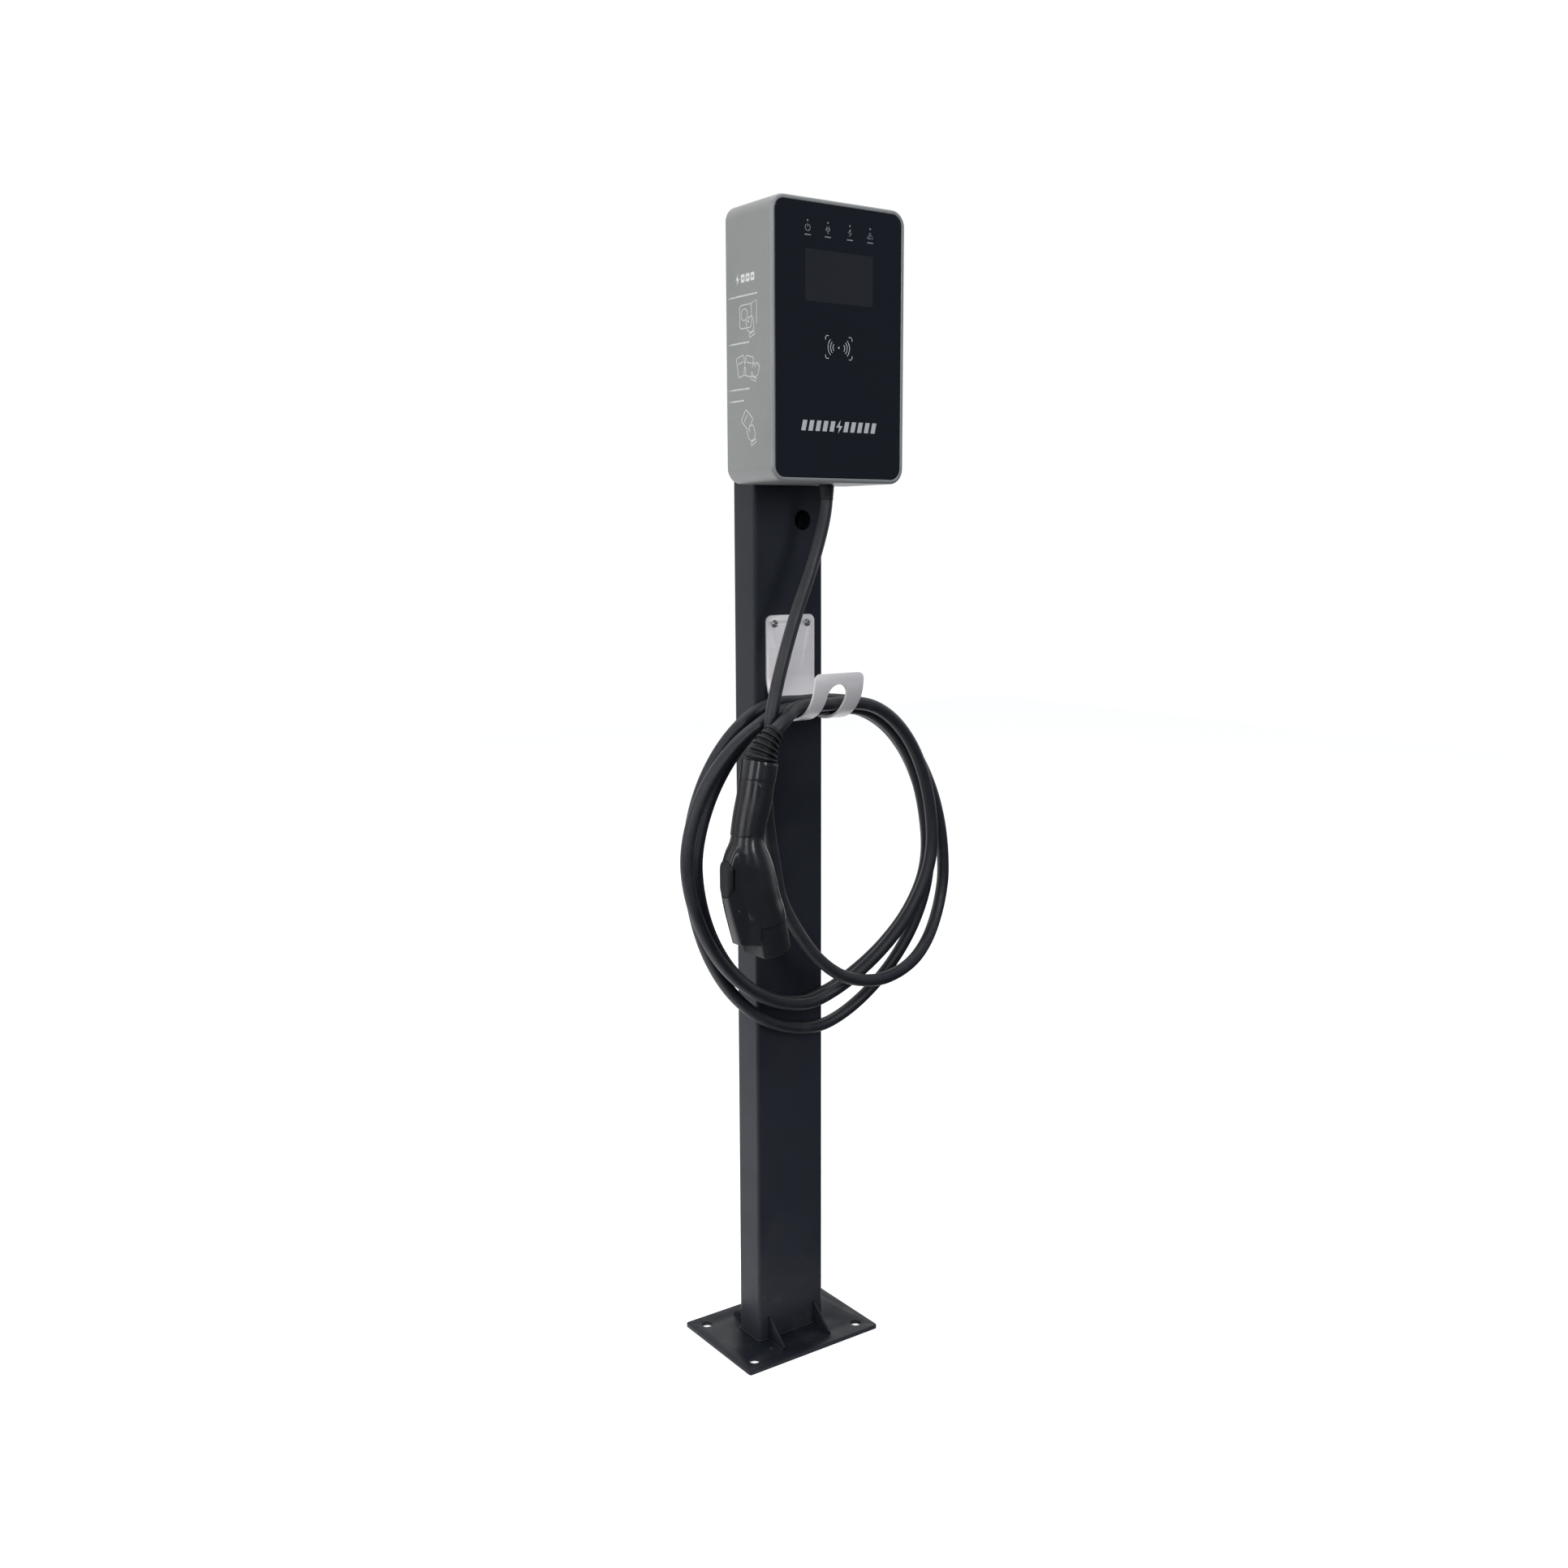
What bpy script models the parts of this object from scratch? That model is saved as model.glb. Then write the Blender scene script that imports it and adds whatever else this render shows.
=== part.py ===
"""EV charging post: a wall-box style charger on a steel post, with a cable hook, cable and plug.

Frame: origin at the centre of the base plate's underside, +Z up, the panel faces -Y, +X to the right
of someone who faces the panel. All sizes are in metres.
"""
import math

import bmesh
import bpy
import numpy as np
from mathutils import Euler, Matrix, Vector

# ---- driving dimensions --------------------------------------------------------------------------
GAP = 0.0003                 # between pieces that touch
ANCHOR_X, ANCHOR_Y, ANCHOR_R = 0.080, 0.055, 0.007
BASE_W, BASE_D, BASE_T = 0.200, 0.150, 0.005
POST_W, POST_D, POST_WALL, POST_R = 0.100, 0.045, 0.002, 0.004
POST_TOP = 1.350
POST_FRONT = -POST_D / 2

HOUSING_W, HOUSING_H = 0.187, 0.305
HOUSING_BOTTOM = 1.080
HOUSING_TOP = HOUSING_BOTTOM + HOUSING_H
HOUSING_MID = HOUSING_BOTTOM + HOUSING_H / 2
HOUSING_BACK, HOUSING_FRONT = -0.0325, -0.1215
HOUSING_R = 0.018
HOUSING_RIM = 0.00525        # metal left bare around the front panel
WALL = 0.0025
GLASS_T, GASKET_T = 0.003, 0.0008
GLASS_FRONT = HOUSING_FRONT + 0.0005
GLASS_BACK = GLASS_FRONT + GLASS_T
PANEL_W, PANEL_H = HOUSING_W - 2 * HOUSING_RIM, HOUSING_H - 2 * HOUSING_RIM
PANEL_R = HOUSING_R - HOUSING_RIM
RECESS_FLOOR = GLASS_BACK + GAP + GASKET_T + GAP
FRONT_INSIDE = RECESS_FLOOR + WALL
WINDOW_W, WINDOW_H = 0.161, 0.282
BOSS_X, BOSS_Z, BOSS_R = 0.0815, 0.1405, 0.0085
COVER_INSIDE = HOUSING_BACK - WALL
BOARD_Y = -0.0520            # middle of the main board
BOARD_T = 0.0016
BOARD_FRONT = BOARD_Y - BOARD_T / 2
MOUNT_X, MOUNT_Z = 0.030, 0.070
CONDUIT_R = 0.0125

CABLE_R = 0.00775
EXIT_X, EXIT_Y = 0.013, -0.079
CABLE_TOP = 1.100

HOOK_T, HOOK_W = 0.003, 0.070
HOOK_PLATE_Y = POST_FRONT - GAP - HOOK_T / 2
HOOK_TOP = 0.928
HOOK_BEND_R = 0.0485
HOOK_BEND_Z = 0.8565
HOOK_ARC = math.radians(175)
HOOK_LIP = 0.012
HOOK_SCREW_X, HOOK_SCREW_Z = 0.024, 0.918
SLOT_LEFT, SLOT_RIGHT = -0.015, 0.013

PLUG_Y = -0.116              # the plug's plane of symmetry
SHELL_WALL = 0.0025
PIVOT_X, PIVOT_Z = -0.1455, 0.604
PIVOT_R = 0.0015
LEVER_W = 0.008
LATCH_COVER_W = 0.028
BUTTON_W, BUTTON_H = 0.022, 0.042
BUTTON_Z = 0.640
BUTTON_INNER_X, BUTTON_OUTER_X = -0.1523, -0.1593
NOSE_TILT = math.radians(-11)
NOSE_TIP = Vector((-0.100, PLUG_Y, 0.549))
NOSE_L = 0.036
NOSE_R = 0.0278
NOSE_FLAT = 0.0185           # from the nose's axis to its flat side
CARRIER_DEPTH = 0.010        # how far the contact carrier sits behind the tip

# The plug's middle line from boot to nose, as (x, z, radius) in the plug's plane.
BOOT_LINE = [(-0.0855, 0.8035, 0.0108), (-0.0935, 0.7955, 0.0128), (-0.0996, 0.7860, 0.0155),
             (-0.1041, 0.7763, 0.0178), (-0.1055, 0.7704, 0.0190)]
HANDLE_LINE = [(-0.1056, 0.7700, 0.0198), (-0.1110, 0.7480, 0.0200), (-0.1160, 0.7270, 0.0201),
               (-0.1200, 0.7120, 0.0202), (-0.1230, 0.7000, 0.0198), (-0.1260, 0.6850, 0.0197),
               (-0.1262, 0.6710, 0.0223), (-0.1230, 0.6560, 0.0250), (-0.1195, 0.6400, 0.0264),
               (-0.1170, 0.6240, 0.0277), (-0.1135, 0.6080, 0.0282), (-0.1088, 0.5944, 0.0284),
               (-0.1069, 0.5846, 0.0285)]
GRIP_SPAN = slice(2, 6)      # the stations of HANDLE_LINE that the grip insert covers
GRIP_T = 0.0014

# ---- the cable's route ---------------------------------------------------------------------------
# From the exit down past the hook to the lowest point of the first loop.
DROP = [(0.0130, -0.0790, CABLE_TOP), (0.0130, -0.0790, 1.0790), (0.0125, -0.0790, 1.0570),
        (0.0060, -0.0805, 1.0310), (-0.0140, -0.0840, 0.9800), (-0.0360, -0.0880, 0.9340),
        (-0.0540, -0.0915, 0.8920), (-0.0700, -0.0945, 0.8470), (-0.0790, -0.0960, 0.8110),
        (-0.0780, -0.0880, 0.7660), (-0.0750, -0.0805, 0.7280), (-0.0690, -0.0755, 0.6900),
        (-0.0580, -0.0720, 0.6380), (-0.0480, -0.0710, 0.5950), (-0.0280, -0.0735, 0.5550),
        (0.0020, -0.0780, 0.5140), (0.0390, -0.0825, 0.4860)]
# Where each turn is lowest, furthest right, on the hook and furthest left, with the roundness of the
# quarter turn that arrives there (2 is an ellipse, less is slimmer).
LOOPS = [("low", (0.0880, -0.0840, 0.4740), 2.0), ("side", (0.2240, -0.0520, 0.5900), 2.0),
         ("hook", (0.0, -0.0496, 0.8256), 2.0), ("side", (-0.1530, -0.0335, 0.6480), 1.85),
         ("low", (0.0340, -0.0335, 0.4115), 2.0), ("side", (0.1920, -0.0600, 0.6120), 1.75),
         ("hook", (0.0, -0.0646, 0.8187), 2.0), ("side", (-0.1540, -0.0510, 0.6430), 1.7),
         ("low", (0.0100, -0.0370, 0.4500), 1.87), ("side", (0.1740, -0.0770, 0.6270), 1.7),
         ("hook", (0.0, -0.0810, 0.8187), 2.0), ("side", (-0.1770, -0.0680, 0.6510), 1.83),
         ("low", (0.0050, -0.0545, 0.4520), 1.8), ("side", (0.1680, -0.0940, 0.6420), 1.7),
         ("hook", (0.0, -0.0960, 0.8256), 2.0)]
# From the hook into the plug's boot.
TO_PLUG = [(-0.0530, -0.1025, 0.8220), (-0.0680, -0.1120, 0.8155), (-0.0790, -0.1155, 0.8090),
           (-0.0860, -0.1160, 0.8030), (-0.0935, -0.1160, 0.7955)]
ON_HOOK = 0.036              # half of the straight stretch that lies in the hook
QUARTER_STEPS = 6
CABLE_POINTS = 78            # along the middle of the cable
END_STRETCH = 0.080          # the stretch at each end that has closer points

COLOURS = {
    "post_paint": ((0.018, 0.020, 0.026), 0.35, 0.0),
    "housing_silver": ((0.30, 0.30, 0.30), 0.45, 0.3),
    "panel_glass": ((0.008, 0.010, 0.016), 0.08, 0.0),
    "black_plastic": ((0.010, 0.010, 0.011), 0.30, 0.0),
    "soft_rubber": ((0.015, 0.015, 0.016), 0.75, 0.0),
    "cable_jacket": ((0.020, 0.021, 0.026), 0.55, 0.0),
    "stainless": ((0.55, 0.53, 0.52), 0.30, 1.0),
    "zinc_steel": ((0.45, 0.45, 0.44), 0.40, 1.0),
    "board_green": ((0.010, 0.080, 0.030), 0.50, 0.0),
    "dark_component": ((0.020, 0.020, 0.022), 0.50, 0.0),
    "contact_silver": ((0.75, 0.73, 0.70), 0.25, 1.0),
}


# ---- helpers -------------------------------------------------------------------------------------
def clear_scene():
    for obj in list(bpy.data.objects):
        bpy.data.objects.remove(obj, do_unlink=True)
    for name in ("ev_charging_post", "cutters"):
        bpy.context.scene.collection.children.link(bpy.data.collections.new(name))


def make_material(name):
    colour, roughness, metallic = COLOURS[name]
    material = bpy.data.materials.new(name)
    material.use_nodes = True
    shader = material.node_tree.nodes["Principled BSDF"]
    shader.inputs["Base Color"].default_value = (*colour, 1.0)
    shader.inputs["Roughness"].default_value = roughness
    shader.inputs["Metallic"].default_value = metallic
    material.diffuse_color = (*colour, 1.0)
    return material


def add_object(name, data, material=None, location=(0, 0, 0), rotation=(0, 0, 0)):
    """Put data in the scene: with a material it is a piece, without one a cutter."""
    obj = bpy.data.objects.new(name, data)
    obj.location = location
    obj.rotation_euler = rotation
    if material is None:
        bpy.data.collections["cutters"].objects.link(obj)
        obj.hide_render = True
        obj.display_type = "WIRE"
    else:
        bpy.data.collections["ev_charging_post"].objects.link(obj)
        finish = bpy.data.materials.get(material) or make_material(material)
        data.materials.append(finish)
    bpy.context.view_layer.update()
    return obj


def as_mesh(curve_object, material=None):
    """Replace a curve by a welded mesh in the same place, so that it can be cut."""
    graph = bpy.context.evaluated_depsgraph_get()
    mesh = bpy.data.meshes.new_from_object(curve_object.evaluated_get(graph))
    mesh.materials.clear()
    work = bmesh.new()
    work.from_mesh(mesh)
    bmesh.ops.remove_doubles(work, verts=work.verts, dist=1e-6)
    bmesh.ops.recalc_face_normals(work, faces=work.faces)
    work.to_mesh(mesh)
    work.free()
    name, matrix = curve_object.name, curve_object.matrix_world.copy()
    bpy.data.objects.remove(curve_object, do_unlink=True)
    solid = add_object(name, mesh, material)
    solid.matrix_world = matrix
    return solid


def rounded_rectangle(width, height, radius, centre=(0, 0), steps=5):
    points = []
    for sign_x, sign_y, start in ((1, 1, 0), (-1, 1, 90), (-1, -1, 180), (1, -1, 270)):
        for step in range(steps + 1):
            angle = math.radians(start + 90 * step / steps)
            points.append((centre[0] + sign_x * (width / 2 - radius) + radius * math.cos(angle),
                           centre[1] + sign_y * (height / 2 - radius) + radius * math.sin(angle)))
    return points


def circle(radius, centre=(0, 0), steps=24):
    turn = 2 * math.pi / steps
    return [(centre[0] + radius * math.cos(turn * i), centre[1] + radius * math.sin(turn * i))
            for i in range(steps)]


def plate(name, loops, thickness, material=None, location=(0, 0, 0), rotation=(0, 0, 0)):
    """A flat outline with holes, its thickness centred on its own XY plane."""
    curve = bpy.data.curves.new(name, "CURVE")
    curve.dimensions = "2D"
    curve.fill_mode = "BOTH"
    curve.extrude = thickness / 2
    for loop in loops:
        spline = curve.splines.new("POLY")
        spline.points.add(len(loop) - 1)
        spline.use_cyclic_u = True
        for point, (x, y) in zip(spline.points, loop):
            point.co = (x, y, 0, 1)
    outline = bpy.data.objects.new(name, curve)
    outline.location = location
    outline.rotation_euler = rotation
    bpy.context.scene.collection.objects.link(outline)
    bpy.context.view_layer.update()
    return as_mesh(outline, material)


UPRIGHT = (math.pi / 2, 0, 0)              # a plate's y goes up and its thickness runs along Y
ON_SIDE = (math.pi / 2, 0, math.pi / 2)    # a plate's x runs along Y, its y goes up


def upright(name, loops, near_y, far_y, material=None, centre=(0, 0)):
    """A plate that faces the front, between two Y planes, centred at (x, z)."""
    middle = (centre[0], (near_y + far_y) / 2, centre[1])
    return plate(name, loops, abs(far_y - near_y), material, middle, UPRIGHT)


def block(name, low, high, material=None):
    work = bmesh.new()
    size = Vector(high) - Vector(low)
    bmesh.ops.create_cube(work, size=1.0, matrix=Matrix.Diagonal((*size, 1.0)))
    mesh = bpy.data.meshes.new(name)
    work.to_mesh(mesh)
    work.free()
    return add_object(name, mesh, material, (Vector(low) + Vector(high)) / 2)


def rod(name, radius, length, centre, rotation=(0, 0, 0), material=None, sides=24):
    """A cylinder along its own Z."""
    work = bmesh.new()
    bmesh.ops.create_cone(work, cap_ends=True, segments=sides, radius1=radius, radius2=radius,
                          depth=length)
    mesh = bpy.data.meshes.new(name)
    work.to_mesh(mesh)
    work.free()
    return add_object(name, mesh, material, centre, rotation)


def turned(name, profile, location, rotation=(0, 0, 0), material=None, steps=24, closed=False):
    """Turn a profile of (radius, height) about its own Z, listed down the outer side."""
    work = bmesh.new()
    points = [work.verts.new((radius, 0, height)) for radius, height in profile]
    for first, second in zip(points, points[1:]):
        work.edges.new((first, second))
    if closed:
        work.edges.new((points[-1], points[0]))
    mesh = bpy.data.meshes.new(name)
    work.to_mesh(mesh)
    work.free()
    obj = add_object(name, mesh, material, location, rotation)
    screw = obj.modifiers.new("turn", "SCREW")
    screw.steps = steps
    screw.render_steps = steps
    screw.use_merge_vertices = True
    screw.merge_threshold = 1e-6
    screw.use_normal_calculate = False
    return obj


def ring(name, outer, inner, bottom, top, location, rotation=(0, 0, 0), material=None, steps=24):
    profile = [(outer, top), (outer, bottom), (inner, bottom), (inner, top)]
    return turned(name, profile, location, rotation, material, steps, closed=True)


def swept(name, stations, material=None, grow=0.0, resolution=8):
    """A round body along (x, z, radius) stations in the plug's plane."""
    curve = bpy.data.curves.new(name, "CURVE")
    curve.dimensions = "3D"
    curve.bevel_depth = 1.0
    curve.bevel_resolution = resolution
    curve.use_fill_caps = True
    spline = curve.splines.new("POLY")
    spline.points.add(len(stations) - 1)
    for point, (x, z, radius) in zip(spline.points, stations):
        point.co = (x, PLUG_Y, z, 1)
        point.radius = radius + grow
    line = bpy.data.objects.new(name, curve)
    bpy.context.scene.collection.objects.link(line)
    bpy.context.view_layer.update()
    return as_mesh(line, material)


def combine(obj, operation, *others):
    for other in others:
        modifier = obj.modifiers.new(operation.lower(), "BOOLEAN")
        modifier.operation = operation
        modifier.object = other
        modifier.solver = "EXACT"
    return obj


def cut(obj, *cutters):
    return combine(obj, "DIFFERENCE", *cutters)


def pan_screw(name, head_radius, head_height, shank_radius, length, head_at, rotation, material):
    """A pan-head screw: its own +Z points out of the head, the head bears on z = 0."""
    crown = head_radius * 0.8
    profile = [(0, head_height), (crown, head_height * 0.85), (head_radius, head_height * 0.4),
               (head_radius, 0), (shank_radius, 0), (shank_radius, -length), (0, -length)]
    return turned(name, profile, head_at, rotation, material, steps=20)


# ---- post and base -------------------------------------------------------------------------------
def build_post():
    anchors = [circle(ANCHOR_R, (x, y)) for x in (-ANCHOR_X, ANCHOR_X) for y in (-ANCHOR_Y, ANCHOR_Y)]
    supply_hole = circle(0.015, (0.026, 0))
    plate("base_plate", [rounded_rectangle(BASE_W, BASE_D, 0.003, steps=2), supply_hole] + anchors,
          BASE_T, "post_paint", (0, 0, BASE_T / 2))
    bottom = BASE_T + GAP
    walls = [rounded_rectangle(POST_W, POST_D, POST_R),
             rounded_rectangle(POST_W - 2 * POST_WALL, POST_D - 2 * POST_WALL, POST_R - POST_WALL)]
    tube = plate("post_tube", walls, POST_TOP - bottom, "post_paint",
                 (0, 0, (POST_TOP + bottom) / 2))
    holes = [("spare_cable_hole", 0.0203, 1.040, 0.012), ("conduit_hole", 0, HOUSING_MID,
                                                          CONDUIT_R + GAP)]
    holes += [(f"mount_hole_{x:+.0f}{z:+.0f}", x * MOUNT_X, HOUSING_MID + z * MOUNT_Z, 0.0028)
              for x in (-1, 1) for z in (-1, 1)]
    holes += [(f"hook_hole_{x:+.0f}", x * HOOK_SCREW_X, HOOK_SCREW_Z, 0.0028) for x in (-1, 1)]
    for name, x, z, radius in holes:
        cut(tube, rod(name, radius, 3 * POST_R, (x, POST_FRONT, z), UPRIGHT))

    lid = plate("post_cap", [rounded_rectangle(POST_W, POST_D, POST_R)], 0.003, "black_plastic",
                (0, 0, POST_TOP + GAP + 0.0015))
    inset = POST_WALL + GAP
    spigot = plate("cap_spigot", [rounded_rectangle(POST_W - 2 * inset, POST_D - 2 * inset,
                                                    POST_R - inset, steps=3)], 0.012, None,
                   (0, 0, POST_TOP - 0.005))
    combine(lid, "UNION", spigot)

    height, reach, thickness = 0.030, 0.034, 0.0025
    for number, (side, front) in enumerate([(-1, -1), (1, -1), (-1, 1), (1, 1)], start=1):
        root = front * (POST_D / 2 + GAP)
        triangle = [(root, bottom), (root + front * reach, bottom),
                    (root + front * reach, bottom + 0.003), (root + front * 0.003, bottom + height),
                    (root, bottom + height)]
        plate(f"base_gusset_{number}", [triangle], thickness, "post_paint", (side * 0.035, 0, 0),
              ON_SIDE)


# ---- housing -------------------------------------------------------------------------------------
def build_housing():
    centre = (0, HOUSING_MID)
    shell = upright("housing_shell", [rounded_rectangle(HOUSING_W, HOUSING_H, HOUSING_R, steps=8)],
                    HOUSING_BACK, HOUSING_FRONT, "housing_silver", centre)
    inner_w, inner_h = HOUSING_W - 2 * WALL, HOUSING_H - 2 * WALL
    cavity = upright("housing_cavity", [rounded_rectangle(inner_w, inner_h, HOUSING_R - WALL)],
                     HOUSING_BACK + 0.01, FRONT_INSIDE, None, centre)
    window = upright("housing_window", [rounded_rectangle(WINDOW_W, WINDOW_H, 0.004)],
                     FRONT_INSIDE + 0.005, HOUSING_FRONT - 0.01, None, centre)
    clear = 2 * GAP
    recess = upright("panel_recess", [rounded_rectangle(PANEL_W + clear, PANEL_H + clear,
                                                        PANEL_R + GAP)],
                     RECESS_FLOOR, HOUSING_FRONT - 0.01, None, centre)
    outlet = rod("cable_outlet", 0.0093, 0.02, (EXIT_X, EXIT_Y, HOUSING_BOTTOM))
    cut(shell, cavity, window, recess, outlet)

    corners = [(x, z) for x in (-1, 1) for z in (-1, 1)]
    for number, (x, z) in enumerate(corners, start=1):
        at = (x * BOSS_X, HOUSING_MID + z * BOSS_Z)
        boss = upright(f"cover_boss_{number}", [circle(BOSS_R)], COVER_INSIDE - GAP, -0.060, None, at)
        combine(shell, "UNION", boss)
        bore = rod(f"boss_bore_{number}", 0.0023, 0.040, (at[0], COVER_INSIDE, at[1]), UPRIGHT)
        cut(shell, bore)

    cover_loops = [rounded_rectangle(inner_w - clear, inner_h - clear, HOUSING_R - WALL - GAP),
                   circle(CONDUIT_R + GAP)]
    cover_loops += [circle(0.0023, (x * BOSS_X, z * BOSS_Z), 16) for x, z in corners]
    cover_loops += [circle(0.0028, (x * MOUNT_X, z * MOUNT_Z), 16) for x, z in corners]
    upright("rear_cover", cover_loops, HOUSING_BACK, COVER_INSIDE, "housing_silver", centre)
    for number, (x, z) in enumerate(corners, start=1):
        pan_screw(f"cover_screw_{number}", 0.004, 0.0024, 0.002, 0.018,
                  (x * BOSS_X, HOUSING_BACK + GAP, HOUSING_MID + z * BOSS_Z), (-math.pi / 2, 0, 0),
                  "zinc_steel")

    upright("front_panel", [rounded_rectangle(PANEL_W, PANEL_H, PANEL_R)], GLASS_FRONT, GLASS_BACK,
            "panel_glass", centre)
    gasket = [rounded_rectangle(PANEL_W - 0.001, PANEL_H - 0.001, PANEL_R),
              rounded_rectangle(WINDOW_W + 0.002, WINDOW_H + 0.002, 0.004)]
    upright("panel_gasket", gasket, GLASS_BACK + GAP, GLASS_BACK + GAP + GASKET_T, "soft_rubber",
            centre)


def build_mounting():
    web_front = POST_FRONT - GAP
    half, back, thick = 0.045, HOUSING_BACK + GAP, 0.0025
    channel = [(-half, -web_front), (half, -web_front), (half, -back), (half - thick, -back),
               (half - thick, -web_front + thick), (-half + thick, -web_front + thick),
               (-half + thick, -back), (-half, -back)]
    length = 0.200
    bracket = plate("mounting_bracket", [channel], length, "zinc_steel", (0, 0, HOUSING_MID),
                    (math.pi, 0, 0))
    cut(bracket, rod("bracket_conduit_hole", CONDUIT_R + GAP, 0.02, (0, web_front, HOUSING_MID),
                     UPRIGHT))
    for number, (x, z) in enumerate([(-1, -1), (1, -1), (-1, 1), (1, 1)], start=1):
        at = (x * MOUNT_X, HOUSING_MID + z * MOUNT_Z)
        cut(bracket, rod(f"bracket_hole_{number}", 0.0028, 0.02, (at[0], web_front, at[1]), UPRIGHT))
        pan_screw(f"mounting_screw_{number}", 0.0045, 0.003, 0.0025, 0.021,
                  (at[0], COVER_INSIDE - GAP, at[1]), (math.pi / 2, 0, 0), "zinc_steel")
    ring("supply_conduit", CONDUIT_R, 0.0095, -0.010, 0.010, (0, -0.028, HOUSING_MID), UPRIGHT,
         "black_plastic")


def build_electronics():
    centre = (0, HOUSING_MID)
    upright("main_board", [rounded_rectangle(0.140, 0.220, 0.002, steps=2)],
            BOARD_Y + BOARD_T / 2, BOARD_FRONT, "board_green", centre)
    corners = [(-1, -1), (1, -1), (-1, 1), (1, 1)]
    for number, (x, z) in enumerate(corners, start=1):
        upright(f"board_standoff_{number}", [circle(0.0035, steps=6)], COVER_INSIDE - GAP,
                BOARD_Y + BOARD_T / 2 + GAP, "zinc_steel", (x * 0.060, HOUSING_MID + z * 0.100))
    face = BOARD_FRONT - GAP
    block("power_relay", (0.006, face - 0.030, HOUSING_MID + 0.035),
          (0.056, face, HOUSING_MID + 0.073), "dark_component")
    ring("leakage_sensor", 0.0175, 0.009, 0, 0.014, (-0.032, face, HOUSING_MID + 0.045), UPRIGHT,
         "dark_component")
    block("terminal_block", (-0.040, face - 0.018, HOUSING_MID - 0.085),
          (0.040, face, HOUSING_MID - 0.065), "dark_component")
    behind_glass = GLASS_BACK + GAP
    upright("display_module", [rounded_rectangle(0.100, 0.062, 0.002, steps=2)], behind_glass,
            behind_glass + 0.006, "dark_component", (0, 1.3035))
    upright("card_reader_board", [rounded_rectangle(0.070, 0.060, 0.002, steps=2)], behind_glass,
            behind_glass + BOARD_T, "board_green", (0, 1.229))
    upright("indicator_light_bar", [rounded_rectangle(0.100, 0.010, 0.002, steps=2)], behind_glass,
            behind_glass + 0.008, "dark_component", (0, 1.353))


# ---- cable outlet and cable ----------------------------------------------------------------------
def build_gland():
    bore = CABLE_R + 0.00055
    inside = HOUSING_BOTTOM + WALL + GAP
    body = [(0.0090, CABLE_TOP + 0.002), (0.0090, inside + 0.003), (0.0140, inside + 0.003),
            (0.0140, inside), (0.0090, inside), (0.0090, HOUSING_BOTTOM), (bore, HOUSING_BOTTOM),
            (bore, CABLE_TOP + 0.002)]
    at = (EXIT_X, EXIT_Y, 0)
    turned("gland_body", body, at, material="black_plastic", closed=True)
    nut_bottom = inside + 0.003 + GAP
    plate("gland_nut", [circle(0.0138, steps=6), circle(0.0093)], 0.006, "black_plastic",
          (EXIT_X, EXIT_Y, nut_bottom + 0.003))
    top = HOUSING_BOTTOM - GAP
    sleeve = [(0.0098, top), (0.0088, top - 0.018), (bore, top - 0.018), (bore, top)]
    turned("gland_sleeve", sleeve, at, material="soft_rubber", closed=True)


def ease(share):
    """Smooth step from 0 to 1 that starts and ends level and straight."""
    return share ** 3 * (10 - 15 * share + 6 * share * share)


def quarter_turn(start, end, leaves_level, roundness):
    """Points of a quarter of a (super)ellipse in the XZ plane, while Y eases from start to end."""
    points = []
    for step in range(1, QUARTER_STEPS + 1):
        angle = math.pi / 2 * step / QUARTER_STEPS
        rise = math.sin(angle) ** (2 / roundness)
        fall = max(math.cos(angle), 0.0) ** (2 / roundness)
        y = start[1] + (end[1] - start[1]) * ease(step / QUARTER_STEPS)
        if leaves_level:
            x = start[0] + (end[0] - start[0]) * rise
            z = end[2] + (start[2] - end[2]) * fall
        else:
            x = end[0] + (start[0] - end[0]) * fall
            z = start[2] + (end[2] - start[2]) * rise
        points.append((x, y, z))
    return points


def cable_route():
    route = list(DROP)
    here = LOOPS[0][1]
    route.append(here)
    for kind, (x, y, z), roundness in LOOPS[1:]:
        if kind == "hook":
            route += quarter_turn(here, (ON_HOOK, y, z), False, roundness)
            here = (-ON_HOOK, y, z)
            route += [(x, y, z), here]
        else:
            route += quarter_turn(here, (x, y, z), kind == "side", roundness)
            here = (x, y, z)
    return route + TO_PLUG


def between(first, second, first_time, second_time, time):
    return first + (second - first) * ((time - first_time) / (second_time - first_time))


def catmull_rom(a, b, c, d, share):
    """The point at a share of the way from b to c on a centripetal Catmull-Rom curve."""
    at_b = math.sqrt(np.linalg.norm(b - a))
    at_c = at_b + math.sqrt(np.linalg.norm(c - b))
    at_d = at_c + math.sqrt(np.linalg.norm(d - c))
    time = at_b + (at_c - at_b) * share
    near_b = between(between(a, b, 0, at_b, time), between(b, c, at_b, at_c, time), 0, at_c, time)
    near_c = between(between(b, c, at_b, at_c, time), between(c, d, at_c, at_d, time), at_b, at_d,
                     time)
    return between(near_b, near_c, at_b, at_c, time)


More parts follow.
